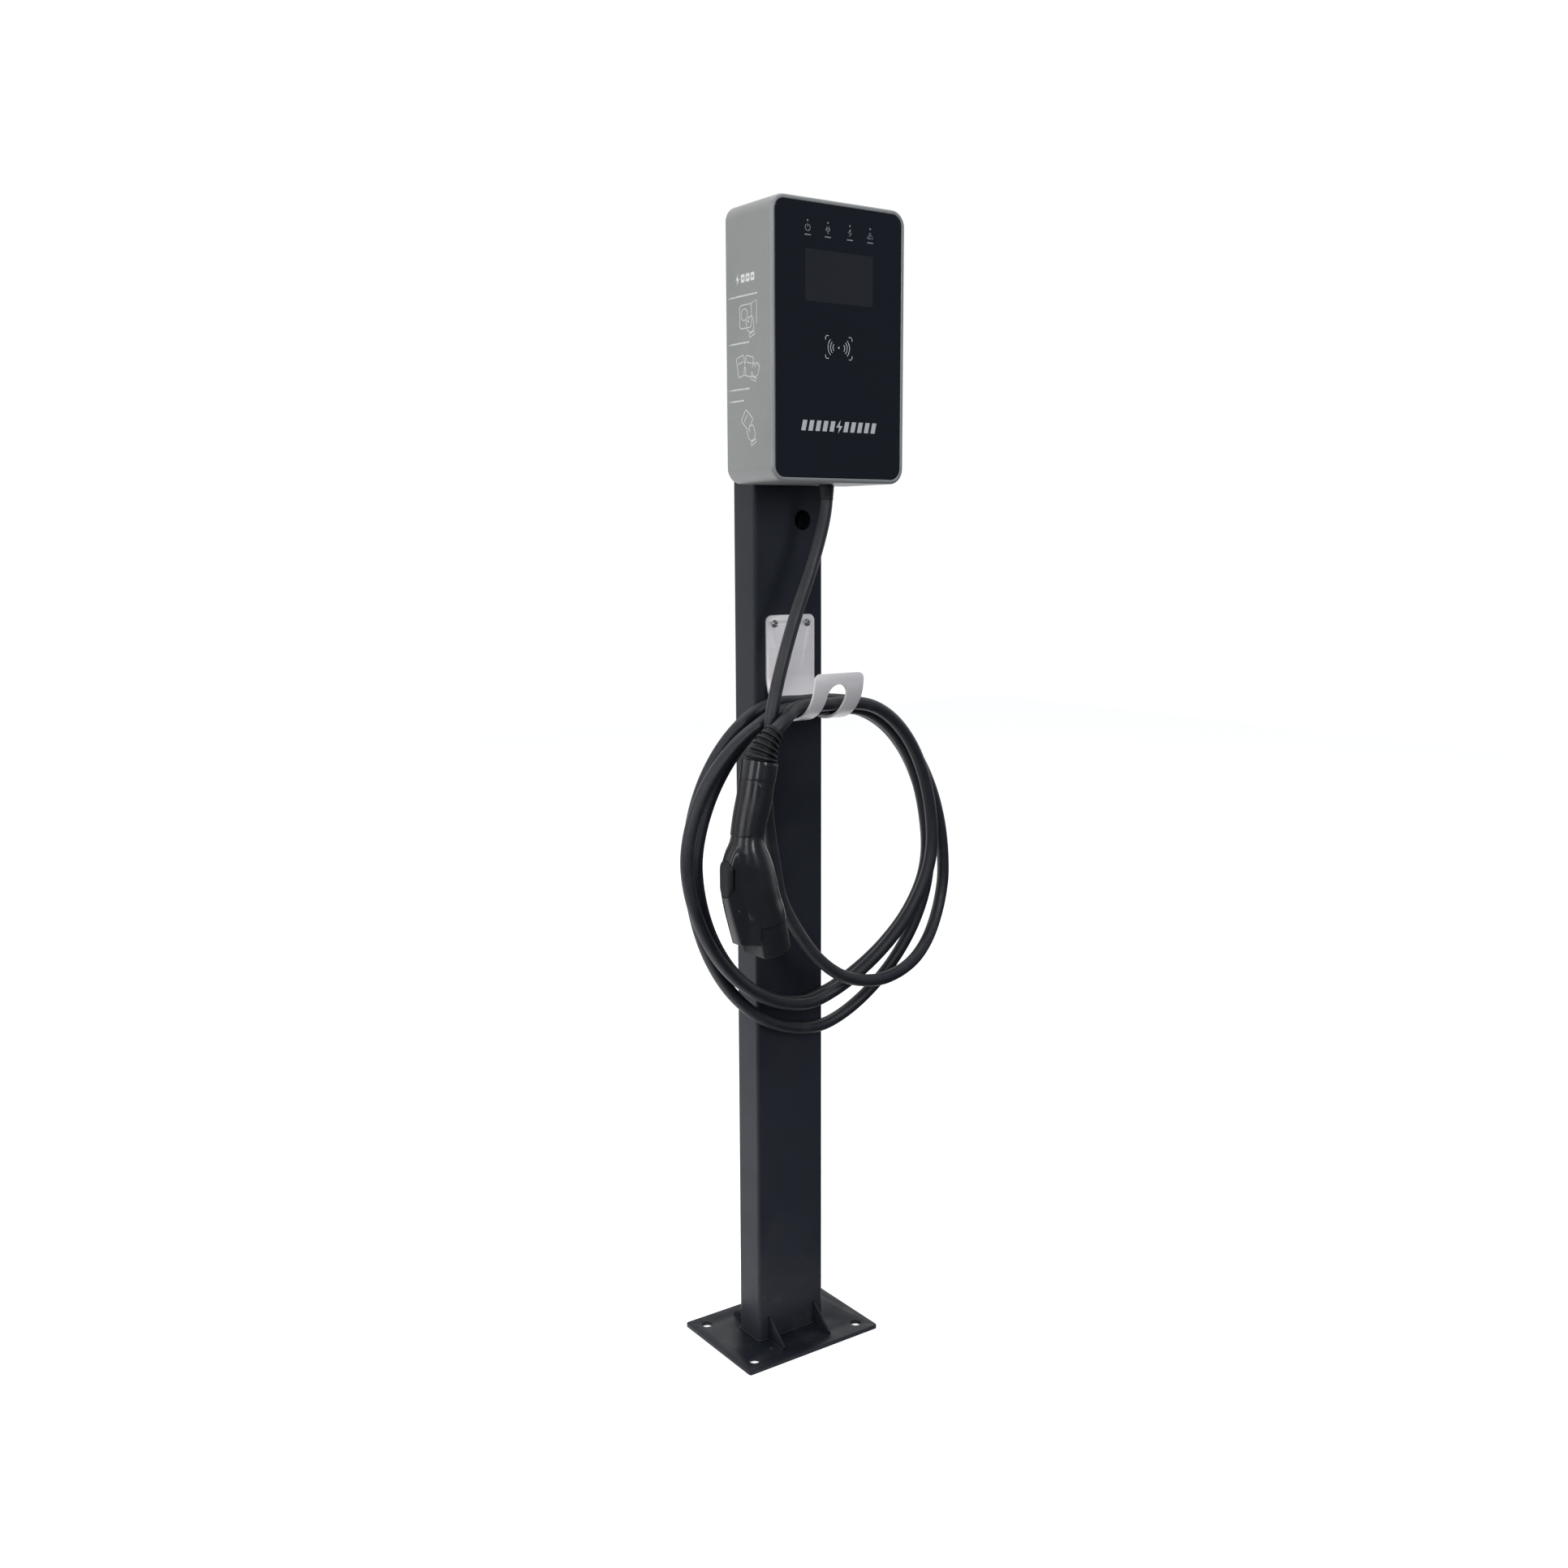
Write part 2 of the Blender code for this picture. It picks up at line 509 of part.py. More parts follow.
def smooth_points(route):
    """Points on a smooth curve through the route: closer at both ends, and exact in the hook."""
    points = np.array(route)
    ends = np.vstack([2 * points[0] - points[1], points, 2 * points[-1] - points[-2]])
    steps = 16
    dense = [catmull_rom(*ends[i:i + 4], share) for i in range(len(points) - 1)
             for share in np.linspace(0, 1, steps, endpoint=False)]
    dense = np.array(dense + [points[-1]])
    along = np.concatenate([[0.0], np.cumsum(np.linalg.norm(np.diff(dense, axis=0), axis=1))])
    length = along[-1]
    even = np.concatenate([np.linspace(0, END_STRETCH, 6, endpoint=False),
                           np.linspace(END_STRETCH, length - END_STRETCH, CABLE_POINTS),
                           np.linspace(length - END_STRETCH, length, 8)[1:]])
    in_hook = np.array([along[i * steps] for i, (x, _, z) in enumerate(route)
                        if abs(x) < ON_HOOK + GAP and HOOK_BEND_Z - HOOK_BEND_R < z < HOOK_BEND_Z])
    even = [station for station in even if np.abs(in_hook - station).min() > CABLE_R]
    stations = np.sort(np.concatenate([even, in_hook]))
    return np.stack([np.interp(stations, along, dense[:, axis]) for axis in range(3)], axis=1)


def build_cable():
    curve = bpy.data.curves.new("charging_cable", "CURVE")
    curve.dimensions = "3D"
    curve.bevel_depth = CABLE_R
    curve.bevel_resolution = 2
    curve.use_fill_caps = True
    points = smooth_points(cable_route())
    spline = curve.splines.new("POLY")
    spline.points.add(len(points) - 1)
    for point, place in zip(spline.points, points):
        point.co = (*place, 1)
    add_object("charging_cable", curve, "cable_jacket")


# ---- cable hook ----------------------------------------------------------------------------------
def hook_place(x, along):
    """Where a point of the flat blank lies once the blank is bent; along runs down from the top."""
    straight = HOOK_TOP - HOOK_BEND_Z
    centre_y = HOOK_PLATE_Y - HOOK_BEND_R
    if along <= straight:
        return Vector((x, HOOK_PLATE_Y, HOOK_TOP - along))
    angle = (along - straight) / HOOK_BEND_R
    past = max(angle - HOOK_ARC, 0.0) * HOOK_BEND_R
    angle = min(angle, HOOK_ARC)
    y = centre_y + HOOK_BEND_R * math.cos(angle) - past * math.sin(angle)
    z = HOOK_BEND_Z - HOOK_BEND_R * math.sin(angle) - past * math.cos(angle)
    return Vector((x, y, z))


def build_hook():
    straight = HOOK_TOP - HOOK_BEND_Z
    bend = HOOK_BEND_R * HOOK_ARC
    length = straight + bend + HOOK_LIP
    slot_r = (SLOT_RIGHT - SLOT_LEFT) / 2
    slot_x = (SLOT_RIGHT + SLOT_LEFT) / 2
    slot_start = straight + HOOK_BEND_R * math.radians(60)
    slot_end = straight + HOOK_BEND_R * math.radians(174)
    slot = [(slot_x + slot_r * math.cos(a), slot_start + slot_r - slot_r * math.sin(a))
            for a in np.linspace(0, math.pi, 13)]
    slot += [(slot_x - slot_r * math.cos(a), slot_end - slot_r + slot_r * math.sin(a))
             for a in np.linspace(0, math.pi, 13)]
    outline = rounded_rectangle(HOOK_W, length, 0.008, (0, length / 2))
    screw_holes = [circle(0.0028, (side * HOOK_SCREW_X, HOOK_TOP - HOOK_SCREW_Z), 16)
                   for side in (-1, 1)]
    hook = plate("cable_hook", [outline, slot] + screw_holes, 0.0, "stainless")
    work = bmesh.new()
    work.from_mesh(hook.data)
    for station in np.linspace(straight, straight + bend, 23):
        everything = work.verts[:] + work.edges[:] + work.faces[:]
        bmesh.ops.bisect_plane(work, geom=everything, dist=1e-6, plane_co=(0, station, 0),
                               plane_no=(0, 1, 0))
    for vertex in work.verts:
        vertex.co = hook_place(vertex.co.x, vertex.co.y)
    bmesh.ops.recalc_face_normals(work, faces=work.faces)
    work.to_mesh(hook.data)
    work.free()
    sheet = hook.modifiers.new("sheet", "SOLIDIFY")
    sheet.thickness = HOOK_T
    sheet.offset = 0
    for number, side in enumerate((-1, 1), start=1):
        pan_screw(f"hook_screw_{number}", 0.0045, 0.003, 0.0025, 0.012,
                  (side * HOOK_SCREW_X, POST_FRONT - 2 * GAP - HOOK_T, HOOK_SCREW_Z),
                  (math.pi / 2, 0, 0), "stainless")


# ---- plug ----------------------------------------------------------------------------------------
def longer(line):
    """The same line with one more station beyond each end."""
    first, second = Vector(line[0][:2]), Vector(line[1][:2])
    last, before = Vector(line[-1][:2]), Vector(line[-2][:2])
    return [(*(2 * first - second), line[0][2])] + line + [(*(2 * last - before), line[-1][2])]


def build_boot():
    bore = [(x, z, CABLE_R + 0.0010) for x, z, _ in BOOT_LINE]
    cut(swept("cable_boot", BOOT_LINE, "soft_rubber"), swept("boot_bore", longer(bore)))


def build_handle():
    slot = block("latch_slot", (PIVOT_X - 0.012, PLUG_Y - 0.0055, PIVOT_Z - 0.006),
                 (-0.1415, PLUG_Y + 0.0055, 0.652))
    inside = swept("handle_inside", longer(HANDLE_LINE), None, -SHELL_WALL)
    for name, side in (("handle_front_shell", -1), ("handle_rear_shell", 1)):
        near, far = sorted((PLUG_Y + side * GAP / 2, PLUG_Y - side * 0.06))
        other_side = block(name + "_other_side", (-0.30, near, 0.40), (0.10, far, 0.95))
        cut(swept(name, HANDLE_LINE, "black_plastic"), other_side, inside, slot)

    stations = HANDLE_LINE[GRIP_SPAN]
    grip = swept("grip_insert", stations, "soft_rubber", GAP + GRIP_T)
    cut(grip, swept("grip_inside", HANDLE_LINE, None, GAP))
    cut(grip, block("grip_open_side", (-0.114, PLUG_Y - 0.06, 0.60), (0.0, PLUG_Y + 0.06, 0.80)))


def build_nose():
    tilt = (0, NOSE_TILT, 0)
    down = Vector((-math.sin(NOSE_TILT), 0, -math.cos(NOSE_TILT)))

    def at(depth):
        return NOSE_TIP - down * depth

    nose = ring("connector_nose", NOSE_R, NOSE_R - SHELL_WALL, 0, NOSE_L - GAP, at(0), tilt,
                "black_plastic", steps=40)
    inner_flat = NOSE_FLAT - SHELL_WALL
    flat_wall = block("flat_wall", (-NOSE_FLAT, -0.0200, 0), (-inner_flat, 0.0200, NOSE_L - GAP))
    beyond = block("beyond_flat", (-0.05, -0.05, -0.01), (-NOSE_FLAT, 0.05, NOSE_L + 0.01))
    for cutter in (flat_wall, beyond):
        cutter.matrix_world = Matrix.LocRotScale(NOSE_TIP, Euler(tilt), None) @ cutter.matrix_world
    combine(nose, "UNION", flat_wall)
    cut(nose, beyond)

    carrier_length = 0.020
    carrier = rod("contact_carrier", NOSE_R - SHELL_WALL - GAP, carrier_length,
                  at(CARRIER_DEPTH + carrier_length / 2), tilt, "dark_component", sides=40)
    side = block("carrier_flat", (-0.05, -0.05, -0.01), (-inner_flat + GAP, 0.05, 0.06))
    side.matrix_world = Matrix.LocRotScale(NOSE_TIP, Euler(tilt), None) @ side.matrix_world
    cut(carrier, side)
    places = [(-0.0115, -0.0065, 0.0022), (-0.0115, 0.0065, 0.0022), (0.0, -0.0150, 0.0034),
              (0.0, 0.0, 0.0034), (0.0, 0.0150, 0.0034), (0.0135, -0.0080, 0.0034),
              (0.0135, 0.0080, 0.0034)]
    frame = Matrix.LocRotScale(at(CARRIER_DEPTH), Euler(tilt), None)
    for number, (x, y, radius) in enumerate(places, start=1):
        centre = frame @ Vector((x, y, carrier_length / 2))
        hole = rod(f"contact_hole_{number}", radius + GAP, carrier_length + 0.01, centre, tilt,
                   sides=20)
        cut(carrier, hole)
        ring(f"contact_{number}", radius, radius * 0.6, 0.001, carrier_length - 0.001,
             frame @ Vector((x, y, 0)), tilt, "contact_silver", steps=20)


def build_latch():
    """The release button, the rocking lever behind it, and the cover that both sit in."""
    outline = [(-0.1250, 0.6820), (-0.1430, 0.6800), (-0.1520, 0.6700), (-0.1565, 0.6560),
               (-0.1570, 0.6370), (-0.1545, 0.6130), (-0.1490, 0.5930), (-0.1420, 0.5660),
               (-0.1405, 0.5620), (-0.1150, 0.5620)]
    inside = [(-0.1250, 0.6720), (-0.1420, 0.6760), (-0.1492, 0.6690), (-0.1541, 0.6553),
              (-0.1548, 0.6372), (-0.1523, 0.6135), (-0.1468, 0.5935), (-0.1395, 0.5660),
              (-0.1370, 0.5500), (-0.1050, 0.5500)]
    cover = plate("latch_cover", [outline], LATCH_COVER_W, "black_plastic", (0, PLUG_Y, 0), UPRIGHT)
    hollow = plate("latch_hollow", [inside], LATCH_COVER_W - 2 * SHELL_WALL, None, (0, PLUG_Y, 0),
                   UPRIGHT)
    body_line = HANDLE_LINE + [(-0.1010, 0.5550, NOSE_R)]
    body = swept("latch_body_clearance", body_line, None, GAP + 0.0002)
    opening = plate("button_opening", [button_outline(0.0005)], 0.02, None,
                    (BUTTON_OUTER_X, PLUG_Y, BUTTON_Z), ON_SIDE)
    seat_length = LATCH_COVER_W - 2 * SHELL_WALL + 0.0024
    pin_seat = rod("pin_seat", PIVOT_R + GAP, seat_length, (PIVOT_X, PLUG_Y, PIVOT_Z), UPRIGHT)
    cut(cover, hollow, body, opening, pin_seat)

    rod("latch_pin", PIVOT_R, seat_length - 2 * GAP, (PIVOT_X, PLUG_Y, PIVOT_Z), UPRIGHT,
        "zinc_steel", sides=16)
    thickness = BUTTON_OUTER_X - BUTTON_INNER_X
    plate("release_button", [button_outline(0.0)], abs(thickness), "black_plastic",
          ((BUTTON_OUTER_X + BUTTON_INNER_X) / 2, PLUG_Y, BUTTON_Z), ON_SIDE)

    hub = 0.0029
    lever = [(-0.0059, 0.0320), (-0.0064, 0.0320), (-0.0064, 0.0410), (-0.0030, 0.0410),
             (-0.0020, 0.0310)]
    lever += [(hub * math.cos(a), hub * math.sin(a)) for a in np.radians([20, -10, -40, -70])]
    lever += [(0.0085, -0.0250), (0.0131, -0.0380), (0.0104, -0.0380), (0.0060, -0.0250)]
    lever += [(hub * math.cos(a), hub * math.sin(a)) for a in np.radians([245, 215, 185, 160])]
    lever += [(-0.0046, 0.0310)]
    plate("latch_lever", [lever, circle(PIVOT_R + GAP, steps=16)], LEVER_W, "dark_component",
          (PIVOT_X, PLUG_Y, PIVOT_Z), UPRIGHT)
    build_latch_spring()


def button_outline(grow):
    return rounded_rectangle(BUTTON_W + 2 * grow, BUTTON_H + 2 * grow, BUTTON_W / 2 + grow - 1e-5,
                             steps=8)


def build_latch_spring():
    """A small torsion spring around the pin, with one leg up beside the lever and one on the cover."""
    radius, wire, turns, steps = 0.0024, 0.0004, 3, 12
    near = PLUG_Y + LEVER_W / 2 + 0.001
    pitch = 0.0011
    points = [(PIVOT_X + radius, near, PIVOT_Z + 0.014)]
    for step in range(turns * steps + 1):
        angle = 2 * math.pi * step / steps
        points.append((PIVOT_X + radius * math.cos(angle), near + pitch * step / steps,
                       PIVOT_Z - radius * math.sin(angle)))
    points.append((PIVOT_X + radius, near + pitch * (turns + 0.1), PIVOT_Z + 0.010))
    curve = bpy.data.curves.new("latch_spring", "CURVE")
    curve.dimensions = "3D"
    curve.bevel_depth = wire
    curve.bevel_resolution = 1
    curve.use_fill_caps = True
    spline = curve.splines.new("POLY")
    spline.points.add(len(points) - 1)
    for point, place in zip(spline.points, points):
        point.co = (*place, 1)
    add_object("latch_spring", curve, "zinc_steel")


def main():
    clear_scene()
    build_post()
    build_housing()
    build_mounting()
    build_electronics()
    build_gland()
    build_hook()
    build_cable()
    build_boot()
    build_handle()
    build_nose()
    build_latch()


main()
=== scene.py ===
"""Looks of the EV charging post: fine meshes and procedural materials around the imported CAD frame.

Metres, +Z up, the panel faces -Y. Places come from the frame's boxes wherever a CAD node gives them.
"""
import math

import bmesh
import bpy
import numpy as np
from mathutils import Euler, Matrix, Vector


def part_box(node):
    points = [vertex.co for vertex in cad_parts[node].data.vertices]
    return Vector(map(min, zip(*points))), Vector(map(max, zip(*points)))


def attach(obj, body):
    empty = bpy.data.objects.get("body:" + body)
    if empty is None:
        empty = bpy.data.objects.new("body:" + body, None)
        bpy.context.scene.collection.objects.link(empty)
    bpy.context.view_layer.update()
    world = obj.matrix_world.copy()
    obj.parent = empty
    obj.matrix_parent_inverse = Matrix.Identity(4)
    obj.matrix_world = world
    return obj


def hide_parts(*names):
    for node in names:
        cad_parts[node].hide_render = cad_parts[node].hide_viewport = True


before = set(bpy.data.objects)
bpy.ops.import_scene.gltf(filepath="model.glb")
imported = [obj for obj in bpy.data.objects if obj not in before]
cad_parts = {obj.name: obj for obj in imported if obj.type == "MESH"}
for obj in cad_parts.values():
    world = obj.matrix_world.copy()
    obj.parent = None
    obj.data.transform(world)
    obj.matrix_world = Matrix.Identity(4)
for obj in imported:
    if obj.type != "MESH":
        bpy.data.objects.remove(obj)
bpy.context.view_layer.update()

GAP = 0.0003                 # the room that touching solids keep in the CAD
HAIR = 0.00005               # how far a print stands proud of what it is printed on


# ---- places read from the frame ----
def corners(node):
    """The low and the high corner of a CAD node's box."""
    return [Vector(corner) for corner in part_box(node)]


HOUSING_LOW, HOUSING_HIGH = corners("housing_shell")
PANEL_LOW, PANEL_HIGH = corners("front_panel")
PLATE_LOW, PLATE_HIGH = corners("base_plate")
POST_LOW, POST_HIGH = corners("post_tube")
HOOK_HIGH = corners("cable_hook")[1]
SLEEVE_LOW, SLEEVE_HIGH = corners("gland_sleeve")
BUTTON_LOW, BUTTON_HIGH = corners("release_button")
PIN_LOW, PIN_HIGH = corners("latch_pin")
PLUG_Y = (PIN_LOW.y + PIN_HIGH.y) / 2
PANEL_Y = PANEL_LOW.y
PANEL_MID = (PANEL_LOW.z + PANEL_HIGH.z) / 2
EXIT = Vector(((SLEEVE_LOW.x + SLEEVE_HIGH.x) / 2, (SLEEVE_LOW.y + SLEEVE_HIGH.y) / 2,
               HOUSING_LOW.z))

# ---- sizes that repeat the CAD's ----
HOUSING_R = 0.018
HOUSING_WALL = 0.0025
PANEL_R = HOUSING_R - (HOUSING_HIGH.x - HOUSING_LOW.x - PANEL_HIGH.x + PANEL_LOW.x) / 2
WINDOW_INSET = 0.0115
RECESS_DEPTH = 0.0049
FRONT_WALL = 0.0074
PLATE_R = 0.003
ANCHOR_X, ANCHOR_Y, ANCHOR_R = 0.08, 0.055, 0.007
SUPPLY_X, SUPPLY_R = 0.026, 0.015
POST_R = 0.004
CABLE_R = 0.00775
OUTLET_R = 0.0093
HOOK_T, HOOK_W, HOOK_LIP = 0.003, 0.07, 0.012
HOOK_CORNER_R, HOOK_HOLE_R = 0.008, 0.0028
HOOK_PLATE_Y = HOOK_HIGH.y - HOOK_T / 2
HOOK_BEND_R, HOOK_BEND_Z = 0.0485, 0.8565
HOOK_ARC = math.radians(175)
HOOK_SLOT = math.radians(60), math.radians(174)   # where its slot starts and ends
SLOT_LEFT, SLOT_RIGHT = -0.015, 0.013
NOSE_TILT = math.radians(-11)
NOSE_TIP = Vector((-0.1, PLUG_Y, 0.549))
NOSE_R, NOSE_FLAT, NOSE_LENGTH = 0.0278, 0.0185, 0.0357
WRAP = math.radians(73)      # how far the grip reaches to each side of the handle
SHELL_WALL = 0.0025
BOOT_RIBS, SLEEVE_RIBS = 6, 4

# The plug's middle line from boot to nose, as (x, z, radius) in the plug's plane.
BOOT_LINE = [(-0.0855, 0.8035, 0.0108), (-0.0935, 0.7955, 0.0128), (-0.1006, 0.786, 0.016),
             (-0.1058, 0.7763, 0.0186), (-0.1076, 0.7704, 0.0196)]
HANDLE_LINE = [(-0.1077, 0.77, 0.02), (-0.112, 0.748, 0.0201), (-0.116, 0.727, 0.0201),
               (-0.12, 0.712, 0.0199), (-0.123, 0.7, 0.0194), (-0.1256, 0.685, 0.0192),
               (-0.1262, 0.671, 0.0222), (-0.1232, 0.656, 0.025), (-0.1195, 0.64, 0.0265),
               (-0.117, 0.624, 0.0277), (-0.1135, 0.608, 0.0282), (-0.1088, 0.5944, 0.0284),
               (-0.1069, 0.5846, 0.0285)]
# The latch cover's outer edge, as (x, z, half width in Y), from its top to its mouth.
COVER_LINE = [(-0.144, 0.679, 0.01), (-0.15, 0.672, 0.0118), (-0.1556, 0.66, 0.0126),
              (-0.1587, 0.643, 0.013), (-0.1583, 0.624, 0.0133), (-0.1545, 0.604, 0.0136),
              (-0.149, 0.584, 0.0139), (-0.1425, 0.5625, 0.014)]

# ---- the cable's route, as in the CAD ----
DROP = [(0.013, -0.079, 1.1), (0.013, -0.079, 1.079), (0.0125, -0.079, 1.057),
        (0.006, -0.0805, 1.031), (-0.014, -0.084, 0.98), (-0.036, -0.088, 0.934),
        (-0.054, -0.0915, 0.892), (-0.07, -0.0945, 0.847), (-0.079, -0.096, 0.811),
        (-0.078, -0.088, 0.766), (-0.075, -0.0805, 0.728), (-0.069, -0.0755, 0.69),
        (-0.058, -0.072, 0.638), (-0.048, -0.071, 0.595), (-0.028, -0.0735, 0.555),
        (0.002, -0.078, 0.514), (0.039, -0.0825, 0.486)]
LOOPS = [("low", (0.088, -0.084, 0.474), 2.0), ("side", (0.224, -0.052, 0.59), 2.0),
         ("hook", (0.0, -0.0496, 0.8256), 2.0), ("side", (-0.153, -0.0335, 0.648), 1.85),
         ("low", (0.034, -0.0335, 0.4115), 2.0), ("side", (0.192, -0.06, 0.612), 1.75),
         ("hook", (0.0, -0.0646, 0.8187), 2.0), ("side", (-0.154, -0.051, 0.643), 1.7),
         ("low", (0.01, -0.037, 0.45), 1.87), ("side", (0.174, -0.077, 0.627), 1.7),
         ("hook", (0.0, -0.081, 0.8187), 2.0), ("side", (-0.177, -0.068, 0.651), 1.83),
         ("low", (0.005, -0.0545, 0.452), 1.8), ("side", (0.168, -0.094, 0.642), 1.7),
         ("hook", (0.0, -0.096, 0.8256), 2.0)]
TO_PLUG = [(-0.053, -0.1025, 0.822), (-0.068, -0.112, 0.8155), (-0.079, -0.1155, 0.809),
           (-0.086, -0.116, 0.803), (-0.0935, -0.116, 0.7955)]
ON_HOOK = 0.036
QUARTER_STEPS = 6
CABLE_SPACING = 0.0055       # between the points of the finished line


# ---- camera, light and floor ----
FLOOR_HALF_WIDTH = 6.0
PAPER_GLOW = 0.34
BACKDROP = (1.02, 1.02, 1.02, 1.0)
DIM_ROOM = (0.195, 0.23, 0.295, 1.0)


def add_camera():
    """A camera that is turned by its yaw, then tipped down, then rolled, in degrees."""
    data = bpy.data.cameras.new("camera")
    data.lens = 35.15
    data.sensor_width = 36.0
    data.clip_end = 50.0
    yaw, down, roll = 35.31, 8.96, -0.21
    place = Matrix.Translation((-1.07454, -1.52737, 1.01344))
    for angle, axis in ((-yaw, "Z"), (90 - down, "X"), (roll, "Z")):
        place @= Matrix.Rotation(math.radians(angle), 4, axis)
    camera = link("camera", data)
    camera.matrix_world = place
    bpy.context.scene.camera = camera


def add_light(name, place, aim_height, size, power):
    """A soft box that faces the post's axis at a height."""
    data = bpy.data.lights.new(name, "AREA")
    data.shape = "RECTANGLE"
    data.size, data.size_y = size
    data.energy = power
    light = link(name, data)
    light.location = place
    aim = Vector((0, 0, aim_height)) - Vector(place)
    light.rotation_euler = aim.to_track_quat("-Z", "Y").to_euler()


def add_stage():
    mesh = bpy.data.meshes.new("floor")
    work = bmesh.new()
    bmesh.ops.create_grid(work, x_segments=1, y_segments=1, size=FLOOR_HALF_WIDTH)
    work.to_mesh(mesh)
    work.free()
    mesh.materials.append(floor_paper())
    floor = link("floor", mesh)
    floor.location = (0, 0, PLATE_LOW.z - HAIR)

    add_world()
    add_light("left_box", (-3.2, -0.5, 1.7), 0.9, (1.3, 2.8), 42)
    add_light("front_left_strip", (-2.2, -2.7, 1.9), 0.9, (0.5, 2.6), 30)
    add_light("front_strip", (0.2, -3.6, 2.2), 0.9, (0.6, 2.2), 46)
    add_light("top_box", (0.0, 0.0, 3.6), 0.6, (3.0, 3.0), 45)
    bpy.context.scene.view_settings.view_transform = "Standard"


def white_to_camera(tree, value):
    """A value that is 1 wherever the camera looks straight at the surface."""
    seen = add_node(tree, "LightPath", "Is Camera Ray")
    return add_node(tree, "Math", "Value", {0: value, 1: seen}, operation="MAXIMUM")


def floor_paper():
    """White paper. What it throws back at the post fades to grey in front, as under dark flags."""
    f = Finish("floor_paper", (0.05, 0.055, 0.065), 0.9, specular=0.1)
    near = f.product(f.window(f.along((0.57, -0.82, 0.0)), 0.3, -0.05),
                     f.window(f.along((-0.58, -0.81, 0.0)), 0.8, 0.5))
    white = white_to_camera(f.tree, near)
    f.tint(white, (0.97, 0.97, 0.97))
    f.grain(0.0001, 0.2, 300, 3)
    f.shader.inputs["Emission Color"].default_value = (1.0, 1.0, 1.0, 1.0)
    f.drive("Emission Strength", f.product(white, PAPER_GLOW))
    return f.material


def add_world():
    """A white backdrop. The glossy faces mirror it behind the post, and a dim room in front."""
    world = bpy.data.worlds.new("studio")
    world.use_nodes = True
    tree = world.node_tree
    place = add_node(tree, "TexCoord", "Generated")
    behind = add_node(tree, "VectorMath", "Value", {0: place, 1: (0.35, 0.92, 0.0)},
                      operation="DOT_PRODUCT")
    shade = add_node(tree, "MapRange", "Result", {"Value": behind, "From Min": -0.35,
                                                  "From Max": 0.3},
                     interpolation_type="SMOOTHSTEP")
    colour = add_node(tree, "Mix", "Result", {"A": DIM_ROOM, "B": BACKDROP,
                                              "Factor": white_to_camera(tree, shade)},
                      data_type="RGBA")
    tree.links.new(colour, tree.nodes["Background"].inputs["Color"])
    bpy.context.scene.world = world


# ---- materials ----
EVENLY = (1, 1, 1)


def add_node(tree, kind, output, inputs=None, **settings):
    """The output of a new node, whose inputs take plain values or other nodes' outputs."""
    node = tree.nodes.new("ShaderNode" + kind)
    for setting, value in settings.items():
        setattr(node, setting, value)
    for socket, value in (inputs or {}).items():
        if isinstance(value, bpy.types.NodeSocket):
            tree.links.new(value, node.inputs[socket])
        else:
            node.inputs[socket].default_value = value
    return node.outputs[output]


